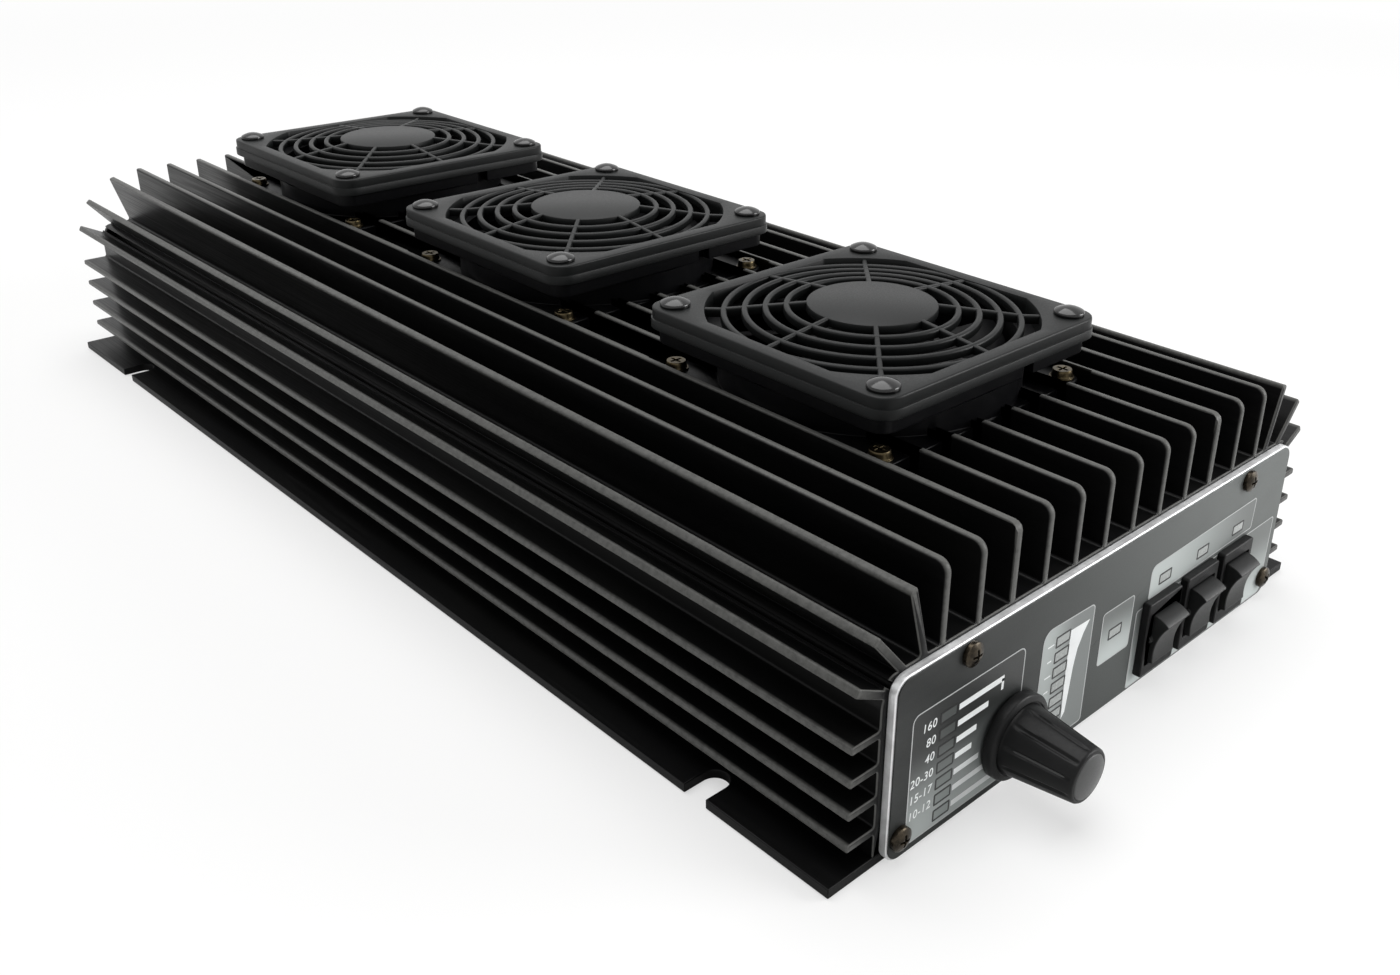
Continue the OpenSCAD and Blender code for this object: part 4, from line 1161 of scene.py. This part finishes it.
class AMP_OT_knob(bpy.types.Operator):
    """Builds the band knob with its cap and pointer"""

    bl_idname = "amp.knob"
    bl_label = "Band knob"

    def execute(self, context):
        sizes = context.scene.amp_knob
        low, high = span("band_knob")
        height = high.y - low.y
        grip = self.grip(sizes, height)
        place_piece("knob_grip", grip, MATERIALS["knob"], "band_control", ["band_knob"], "knob_black")
        self.cap(sizes, height)
        self.pointer(sizes, height)
        dressed("band_shaft", "switch_shaft", 0.12, "plated", "plated_metal", "band_control")
        dressed("switch_nut", "bushing_nut", 0.12, "plated", "plated_metal")
        dressed("band_switch", "switch_body", 0.12, "plated", "plated_metal")
        return {"FINISHED"}

    def grip(self, sizes, height):
        """The collar and the grooved grip, with a hollow in its end."""
        collar, high = sizes.collar / MM, sizes.collar_height / MM
        base, tip, deep = sizes.base / MM, sizes.tip / MM, sizes.flute_depth / MM
        profile = [(0, 0), (collar - 0.2, 0), (collar, 0.2), (collar, high - 0.75)]
        profile += [(collar - 0.15, high - 0.5)]
        profile += [(collar - 0.4, high - 0.32), (base + 0.62, high), (base + 0.5, high - 0.06)]
        profile += [(base + 0.42, high - 0.3), (base + 0.2, high - 0.3)]
        profile += [(base + 0.1, high), (base, high + 0.5)]
        start, low = len(profile), high + 0.9
        for i in range(13):
            share = i / 12
            profile.append((base + (tip - base) * share, low + (height - 1.0 - low) * share))
        end, rim = len(profile), tip - 1.0
        profile += [(tip - 0.08, height - 0.5), (tip - 0.35, height - 0.12), (tip - 0.75, height)]
        profile += [(rim, height - 0.05), (rim, height - CAP_SUNK), (0, height - CAP_SUNK)]

        def groove(k, radius, turn):
            """Depth of the grooves at point k of the profile; they run out towards its ends."""
            if not start <= k < end:
                return 0.0
            near = ((turn - sizes.pointer_turn) * sizes.flutes / (2 * math.pi)) % 1
            near = min(near, 1 - near) * (2 * math.pi / sizes.flutes) * radius
            shape = max(0.0, 1 - (near / GROOVE_HALF) ** 2)
            reach = min(1.0, (k - start) / 1.5, (end - 0.6 - k) / 1.6)
            return deep * max(0.0, reach) * shape

        bm = bmesh.new()
        lathe(bm, profile, about_knob, 240, groove)
        return to_mesh("knob_grip", bm, 40)

    def cap(self, sizes, height):
        """A shallow dome that sits in the grip's end."""
        edge = sizes.tip / MM - 1.05
        low, high = span("knob_cap")
        rise = (high.y - low.y) - CAP_SUNK
        profile = [(0, height - 0.98), (edge, height - CAP_SUNK), (edge, height - 0.1)]
        profile += [(edge - 0.12, height + 0.12)] + dome(edge - 0.12, edge, height + 0.12, rise - 0.12)
        bm = bmesh.new()
        lathe(bm, profile, about_knob, 96)
        mesh, material = to_mesh("knob_end_cap", bm, 40), MATERIALS["knob_cap"]
        place_piece("knob_end_cap", mesh, material, "band_control", ["knob_cap"], "knob_cap_grey")

    def pointer(self, sizes, height):
        """The dull grey line along one groove, towards the scale."""
        base, tip, high = sizes.base / MM, sizes.tip / MM, sizes.collar_height / MM
        bm = bmesh.new()
        rings = []
        cos, sin = math.cos(sizes.pointer_turn), math.sin(sizes.pointer_turn)
        for share in (0, 0.5, 1):
            c = high + 2.6 + (height - high - 4.2) * share
            r = base + (tip - base) * ((c - high - 0.9) / (height - high - 1.9)) - sizes.flute_depth / MM
            section = [(r - 0.12, -0.3), (r - 0.12, 0.3), (r + 0.07, 0.3), (r + 0.07, -0.3)]
            rings.append([about_knob(a * cos - b * sin, a * sin + b * cos, c) for a, b in section])
        skin(bm, rings)
        place_piece("knob_pointer", to_mesh("knob_pointer", bm), MATERIALS["knob_cap"], "band_control")


# Switches

ROCKER_SHARE = 0.86  # of the CAD's width, for the dark gaps at its sides


class AMP_OT_switches(bpy.types.Operator):
    """Builds the three rocker switches"""

    bl_idname = "amp.switches"
    bl_label = "Rocker switches"

    def execute(self, context):
        for k, middle_of_switch in zip(NUMBERS, SWITCHES):
            dressed(f"switch_body_{k}", f"switch_bezel_{k}", 0.3, "bezel", "switch_black")
            rocker = cad_copy(f"rocker_{k}", 0.22)
            centre = Vector((middle_of_switch.x, 0, 0)) * MM
            narrow = Matrix.Diagonal((ROCKER_SHARE, 1, 1, 1))
            rocker.transform(Matrix.Translation(centre) @ narrow @ Matrix.Translation(-centre))
            name, material = f"switch_rocker_{k}", MATERIALS["rocker"]
            place_piece(name, rocker, material, f"switch_{k}", [f"rocker_{k}"], "rocker_black")
        return {"FINISHED"}


# Fans

GUARD_POINTS = 240
GUARD_CORNER = 6.0
HUB_R = 16.5


def guard_opening(sizes, count):
    """The guard's opening and its outer edge, as matching points round the middle."""
    half = sizes.guard_width / MM / 2
    flat = half - sizes.bar / MM
    open_r = sizes.opening / MM
    marks = {i * 2 * math.pi / count for i in range(count)}
    angle = math.acos(flat / open_r)
    for quarter in range(4):
        for sign in (-1, 1):
            marks.add((quarter * math.pi / 2 + sign * angle) % (2 * math.pi))
    inner, outer = [], []
    for t in sorted(marks):
        c, s = math.cos(t), math.sin(t)
        reach = min(open_r, flat / max(abs(c), abs(s)))
        inner.append((reach * c, reach * s))
        side = half / max(abs(c), abs(s))
        q = half - GUARD_CORNER
        if min(abs(side * c), abs(side * s)) > q:
            dot = q * abs(c) + q * abs(s)
            side = dot + math.sqrt(max(0.0, dot * dot - 2 * q * q + GUARD_CORNER * GUARD_CORNER))
        outer.append((side * c, side * s))
    return inner, outer


def guard_mesh(sizes):
    """One finger guard about the origin, its seat at z = 0."""
    high = sizes.guard_height / MM
    inner, outer = guard_opening(sizes, GUARD_POINTS)
    levels = [
        (outer, 0.2, 0), (outer, 0.0, 0.15), (outer, 0.0, 2.4), (outer, 0.08, 2.55), (outer, 0.36, 2.65),
        (outer, 0.36, high - 0.6), (outer, 0.42, high - 0.3), (outer, 0.58, high - 0.1), (outer, 0.95, high),
        (inner, -0.35, high), (inner, -0.12, high - 0.08), (inner, 0.0, high - 0.32), (inner, 0.1, 0),
    ]
    bm = bmesh.new()
    tube(bm, [[(x, y, z) for x, y in (inset(line, depth) if depth else line)] for line, depth, z in levels])
    web_top = high - 0.4
    web_low = web_top - sizes.ring_height / MM
    disc, rise = sizes.disc / MM, sizes.rise / MM
    rim = sizes.opening / MM - 4
    low, top = web_low + rise, web_top + rise
    profile = [(0, low), (disc - 0.3, low), (disc, low + 0.3), (disc, top - 0.45)]
    profile += [(disc - 0.12, top - 0.15), (disc - 0.45, top), (0, top)]
    lathe(bm, profile, steps=96)
    frame_mesh = to_mesh("guard_frame", bm, 40)
    wide, crest = sizes.spoke_width / MM / 2, web_top - 0.05
    section = [(-wide, web_low, 0.2), (wide, web_low, 0.2), (wide, crest, 0.45), (-wide, crest, 0.45)]
    section = rounded(section, 3)
    reach = sizes.guard_width / MM / 2
    spokes = []
    for first, end in ((0.0, reach - sizes.bar / MM + 1.5), (math.pi / 4, sizes.opening / MM + 1.5)):
        stations = sorted({(disc - 1, rise), (disc, rise), (min(rim, end - 0.2), 0.0), (end, 0.0)})
        arm = bmesh.new()
        skin(arm, [[(x, a, b + up) for a, b in section] for x, up in stations])
        values = {"Count": sizes.spokes // 2, "First turn": first, "Material": MATERIALS["guard"]}
        spokes.append(run_tree("guard_spokes", to_mesh("spoke", arm, 40), TREES["round"], values))
    ring = sizes.ring_width / MM / 2
    bar = [(-ring, web_low, 0.3), (ring, web_low, 0.3), (ring, web_top, 0.7), (-ring, web_top, 0.7)]
    bar = rounded(bar, 4)
    # Curve to Mesh lays a section's Y downwards here, so it is given upside down
    profile = bpy.data.meshes.new("ring_profile")
    edges = [(i, (i + 1) % len(bar)) for i in range(len(bar))]
    profile.from_pydata([(a * MM, -b * MM, 0) for a, b in bar], edges, [])
    values = {
        "Count": sizes.ring_count, "First radius": sizes.first_ring, "Step": sizes.ring_step,
        "Rim radius": rim * MM, "Slope": rise / (rim - disc), "Material": MATERIALS["guard"],
    }
    rings = run_tree("guard_rings", profile, TREES["rings"], values)
    whole = bmesh.new()
    for mesh in [frame_mesh, *spokes, rings]:
        whole.from_mesh(mesh)
    return to_mesh("guard_one", whole, 40)


def rivet_mesh(sizes):
    """A push rivet with a flattened dome, its seat at z = 0."""
    r = sizes.rivet / MM
    top = span("guard_rivets_1")[1].z - GUARD_SEAT - sizes.guard_height / MM
    profile = [(0, -0.3), (r - 0.35, -0.3), (r - 0.3, 0.1), (r - 0.04, 0.14)]
    profile += [(r, 0.3), (r, 0.72), (r - 0.1, 0.98)]
    bm = bmesh.new()
    lathe(bm, profile + dome(r - 0.1, r, 0.98, top - 0.98), steps=48)
    return to_mesh("rivet", bm, 45)


def rotor_blade(bottom, top, tip):
    """One swept blade from the hub to the tip radius, flatter and longer towards its tip."""
    rows = []
    for i in range(9):
        share = i / 8
        r = HUB_R - 0.8 + (tip - HUB_R + 0.8) * share
        pitch = math.radians(43 - 13 * share)
        chord = min(15.5 + 6.0 * share, (top - bottom - 0.8) / math.sin(pitch))
        lead = math.radians(-6 + 16 * share)
        above, below = [], []
        for j in range(9):
            u = j / 8
            along = (u - 0.5) * chord
            camber = 2.0 * (1 - (2 * u - 1) ** 2)
            thick = 0.25 + 0.95 * math.sin(math.pi * min(0.98, 0.12 + 0.8 * u))
            for side, points in ((1, above), (-1, below)):
                off = camber + side * thick / 2
                tangent = along * math.cos(pitch) - off * math.sin(pitch)
                height = along * math.sin(pitch) + off * math.cos(pitch)
                turn = lead + tangent / r
                z = (bottom + top) / 2 - 0.9 + height
                z = max(bottom + 0.15, min(top - 0.2, z))
                points.append((r * math.cos(turn), r * math.sin(turn), z))
        rows.append(above + list(reversed(below)))
    arm = bmesh.new()
    skin(arm, rows)
    return to_mesh("blade", arm, 50)


def rotor_mesh(sizes, low, high, y):
    """A rotor about a place on the middle line: its hub cup with swept blades."""
    bottom, top = low.z, high.z
    bm = bmesh.new()
    profile = [(0, bottom), (HUB_R - 1.5, bottom), (HUB_R, bottom)]
    profile += [(HUB_R, top - 1.2), (HUB_R - 0.35, top - 0.4)]
    profile += [(HUB_R - 1.2, top), (12, top), (11.8, top - 0.15), (0, top - 0.15)]
    lathe(bm, profile, steps=72)
    cup = to_mesh("hub", bm, 40)
    values = {"Count": sizes.blades, "First turn": 0.2, "Material": MATERIALS["blade"]}
    blades = run_tree("blades", rotor_blade(bottom, top, high.x - 0.15), TREES["round"], values)
    whole = joined("rotor", [cup, blades])
    whole.transform(Matrix.Translation(Vector((0, y, 0)) * MM))
    soften(whole, 45)
    return whole


class AMP_OT_fans(bpy.types.Operator):
    """Builds the three fans, their finger guards, rivets and screws"""

    bl_idname = "amp.fans"
    bl_label = "Fans"

    def execute(self, context):
        sizes = context.scene.amp_fans
        seats = [(0, y, GUARD_SEAT) for y in FAN_YS]
        self.copied("finger_guards", guard_mesh(sizes), seats, "guard", 40, "fan_guard_")
        spots = []
        for k, y in zip(NUMBERS, FAN_YS):
            low, high = span(f"guard_rivets_{k}")
            off = (high.x - low.x) / 2 - sizes.rivet / MM
            seat = GUARD_SEAT + sizes.guard_height / MM
            spots += [(sx * off, y + sy * off, seat) for sx in (-1, 1) for sy in (-1, 1)]
        self.copied("guard_rivet_heads", rivet_mesh(sizes), spots, "rivet", 45, "guard_rivets_")
        for k, y in zip(NUMBERS, FAN_YS):
            rotor = rotor_mesh(sizes, *span(f"fan_rotor_{k}"), y)
            name, material = f"rotor_blades_{k}", MATERIALS["blade"]
            place_piece(name, rotor, material, f"rotor_{k}", [f"fan_rotor_{k}"], "fan_black")
            dressed(f"fan_frame_{k}", f"fan_case_{k}", 0.25, "fan", "fan_black")
            dressed(f"fan_screws_{k}", f"fan_bolts_{k}", 0.1, "zinc", "zinc_screw")
        return {"FINISHED"}

    def copied(self, name, mesh, places, finish, angle, node):
        """Puts copies of a mesh in the places of the three nodes whose names start alike."""
        made = copies(name, mesh, places, MATERIALS[finish])
        soften(made, angle)
        place_piece(name, made, None, stands_for=[f"{node}{k}" for k in NUMBERS], slot="guard_black")


# Rear panel and inside


class AMP_OT_rear(bpy.types.Operator):
    """Builds the rear panel with its sockets, gland and ground post"""

    bl_idname = "amp.rear"
    bl_label = "Rear panel"

    def execute(self, context):
        for row in (
            ("rear_panel", "rear_plate", 0.22, "anodised", "black_anodised"),
            ("rear_screws", "rear_screw_set", 0.07, "screw", "dark_screw"),
            ("coax_socket_1", "antenna_socket", 0.2, "plated", "plated_metal"),
            ("coax_socket_2", "radio_socket", 0.2, "plated", "plated_metal"),
            ("coax_core_1", "antenna_insulator", 0.15, "insulator", "insulator"),
            ("coax_core_2", "radio_insulator", 0.15, "insulator", "insulator"),
            ("control_jacks", "jack_pair", 0.15, "plated", "plated_metal"),
            ("cable_gland", "gland_body", 0.35, "gland", "gland_black"),
            ("ground_post", "ground_terminal", 0.12, "brass", "plated_metal"),
        ):
            dressed(*row)
        return {"FINISHED"}


class AMP_OT_inside(bpy.types.Operator):
    """Gives the parts inside the housing their finishes"""

    bl_idname = "amp.inside"
    bl_label = "Inside"

    def execute(self, context):
        table = {
            "display_board": "board", "power_board": "board", "filter_board": "board",
            "board_spacers": "plated", "gland_nut": "gland", "filter_toroids": "toroid",
            "band_relays": "relay", "output_transformer": "ferrite", "input_transformer": "ferrite",
            "power_transistors": "transistor", "fuse_block": "gland", "blade_fuses": "fuse",
        }
        for node, finish in table.items():
            piece = frame["nodes"][node]
            piece.data.materials.clear()
            piece.data.materials.append(MATERIALS[finish])
        return {"FINISHED"}


# Stage

# The camera that the photograph was taken with, as fitted: its place in metres and its turns in radians
PHOTO_W, PHOTO_H = 1400, 975
CAMERA_PLACE = Vector((-0.24736, -0.33691, 0.19972))
CAMERA_TURN, CAMERA_DIP, CAMERA_ROLL = 0.782, 0.444, 0.021
FOCAL_PIXELS = 1349.752
PRINCIPAL = (778.395, 437.94)
FLOOR_HALF, FLOOR_DROP = 4, 0.0002
FLOOR_COLOUR = (0.93, 0.93, 0.925, 1)
WHITE = (1, 1, 1, 1)
WORLD_LIGHT = 0.25


class AMP_OT_stage(bpy.types.Operator):
    """Sets the pale floor, the lamps and the camera"""

    bl_idname = "amp.stage"
    bl_label = "Stage"

    def execute(self, context):
        scene = context.scene
        self.floor(scene)
        self.world(scene)
        self.lamp("overhead_softbox", (0.05, 0.25, 1.6), (0, 0, 0), 1.7, 28.0)
        self.lamp("front_softbox", (0.95, -1.0, 0.5), (0, -0.15, 0.03), 0.7, 12.0)
        self.camera(scene)
        scene.view_settings.view_transform = "Standard"
        return {"FINISHED"}

    def floor(self, scene):
        """A pale floor that seems to end in white far off."""
        bm = bmesh.new()
        bmesh.ops.create_grid(bm, x_segments=2, y_segments=2, size=FLOOR_HALF)
        bmesh.ops.translate(bm, verts=bm.verts, vec=(0, 0, -FLOOR_DROP))
        mesh = bpy.data.meshes.new("floor")
        bm.to_mesh(mesh)
        bm.free()
        floor = bpy.data.objects.new("floor", mesh)
        scene.collection.objects.link(floor)
        material = bpy.data.materials.new("pale_floor")
        material.use_nodes = True
        nodes = Nodes(material.node_tree)
        shader = material.node_tree.nodes["Principled BSDF"]
        shader.inputs["Base Color"].default_value = FLOOR_COLOUR
        shader.inputs["Roughness"].default_value = 0.7
        shader.inputs["Specular IOR Level"].default_value = 0.1
        seen = nodes.add("ShaderNodeLightPath").outputs["Is Camera Ray"]
        glow = nodes.add("ShaderNodeEmission", {"Color": WHITE, "Strength": 1.0})
        place = nodes.add("ShaderNodeTexCoord").outputs["Object"]
        away = nodes.add("ShaderNodeVectorMath", {0: place}, operation="LENGTH").outputs["Value"]
        limits = {"Value": away, "From Min": 0.5, "From Max": 1.3, "To Min": 0.55}
        far = nodes.add("ShaderNodeMapRange", limits)
        share = nodes.math("MULTIPLY", seen, far.outputs["Result"])
        mix = nodes.add("ShaderNodeMixShader", {0: share, 1: shader.outputs[0], 2: glow.outputs[0]})
        nodes.put(material.node_tree.nodes["Material Output"].inputs["Surface"], mix.outputs[0])
        mesh.materials.append(material)

    def world(self, scene):
        """A white world that lights the object at a quarter of the strength it is seen with."""
        world = bpy.data.worlds.new("studio")
        scene.world = world
        world.use_nodes = True
        nodes = Nodes(world.node_tree)
        path = nodes.add("ShaderNodeLightPath").outputs
        seen = nodes.math("MAXIMUM", path["Is Camera Ray"], path["Is Transmission Ray"])
        seen = nodes.math("MAXIMUM", seen, path["Is Glossy Ray"])
        level = nodes.math("MULTIPLY_ADD", seen, 1 - WORLD_LIGHT, WORLD_LIGHT)
        back = world.node_tree.nodes["Background"]
        back.inputs["Color"].default_value = WHITE
        nodes.put(back.inputs["Strength"], level)

    def lamp(self, name, place, aim, size, power):
        data = bpy.data.lights.new(name, "AREA")
        data.shape = "SQUARE"
        data.size = size
        data.energy = power
        lamp = bpy.data.objects.new(name, data)
        bpy.context.scene.collection.objects.link(lamp)
        lamp.location = place
        lamp.rotation_mode = "QUATERNION"
        lamp.rotation_quaternion = (Vector(aim) - Vector(place)).to_track_quat("-Z", "Y")

    def camera(self, scene):
        data = bpy.data.cameras.new("camera")
        camera = bpy.data.objects.new("camera", data)
        scene.collection.objects.link(camera)
        data.sensor_width = 36
        data.lens = FOCAL_PIXELS * data.sensor_width / PHOTO_W
        data.shift_x = -(PRINCIPAL[0] - PHOTO_W / 2) / PHOTO_W
        data.shift_y = (PRINCIPAL[1] - PHOTO_H / 2) / PHOTO_W
        data.clip_start, data.clip_end = 0.01, 20
        a, b, c = CAMERA_TURN, CAMERA_DIP, CAMERA_ROLL
        ahead = Vector((math.sin(a) * math.cos(b), math.cos(a) * math.cos(b), -math.sin(b)))
        right = Vector((math.cos(a), -math.sin(a), 0))
        up = right.cross(ahead)
        across = right * math.cos(c) + up * math.sin(c)
        upright = up * math.cos(c) - right * math.sin(c)
        columns = Matrix((across, upright, -ahead)).transposed().to_4x4()
        camera.matrix_world = Matrix.Translation(CAMERA_PLACE) @ columns
        scene.camera = camera


class AMP_PT_parts(bpy.types.Panel):
    """Lists the amplifier's groups of pieces"""

    bl_label = "Amplifier"
    bl_idname = "AMP_PT_parts"
    bl_space_type = "VIEW_3D"
    bl_region_type = "UI"
    bl_category = "Amplifier"

    def draw(self, context):
        for operator in OPERATORS:
            self.layout.operator(operator.bl_idname)
        for name in GROUPS_OF_SIZES:
            sizes = getattr(context.scene, name)
            box = self.layout.box()
            for key in sizes.__annotations__:
                box.prop(sizes, key)


OPERATORS = (
    AMP_OT_housing, AMP_OT_front, AMP_OT_knob, AMP_OT_switches,
    AMP_OT_fans, AMP_OT_rear, AMP_OT_inside, AMP_OT_stage,
)
GROUPS_OF_SIZES = {
    "amp_housing": AMP_PG_housing,
    "amp_front": AMP_PG_front,
    "amp_knob": AMP_PG_knob,
    "amp_fans": AMP_PG_fans,
}
TREES = {}
GROUPS = {}
MATERIALS = {}


def register():
    for group in GROUPS_OF_SIZES.values():
        bpy.utils.register_class(group)
    for name, group in GROUPS_OF_SIZES.items():
        setattr(bpy.types.Scene, name, PointerProperty(type=group))
    for operator in OPERATORS:
        bpy.utils.register_class(operator)
    bpy.utils.register_class(AMP_PT_parts)


def unregister():
    bpy.utils.unregister_class(AMP_PT_parts)
    for operator in reversed(OPERATORS):
        bpy.utils.unregister_class(operator)
    for name in GROUPS_OF_SIZES:
        delattr(bpy.types.Scene, name)
    for group in reversed(GROUPS_OF_SIZES.values()):
        bpy.utils.unregister_class(group)


def main():
    register()
    TREES.update(make_trees())
    GROUPS.update(make_groups())
    MATERIALS.update(make_materials(bpy.context.scene))
    bpy.ops.amp.housing()
    bpy.ops.amp.front()
    bpy.ops.amp.knob()
    bpy.ops.amp.switches()
    bpy.ops.amp.fans()
    bpy.ops.amp.rear()
    bpy.ops.amp.inside()
    bpy.ops.amp.stage()


if __name__ == "__main__":
    main()
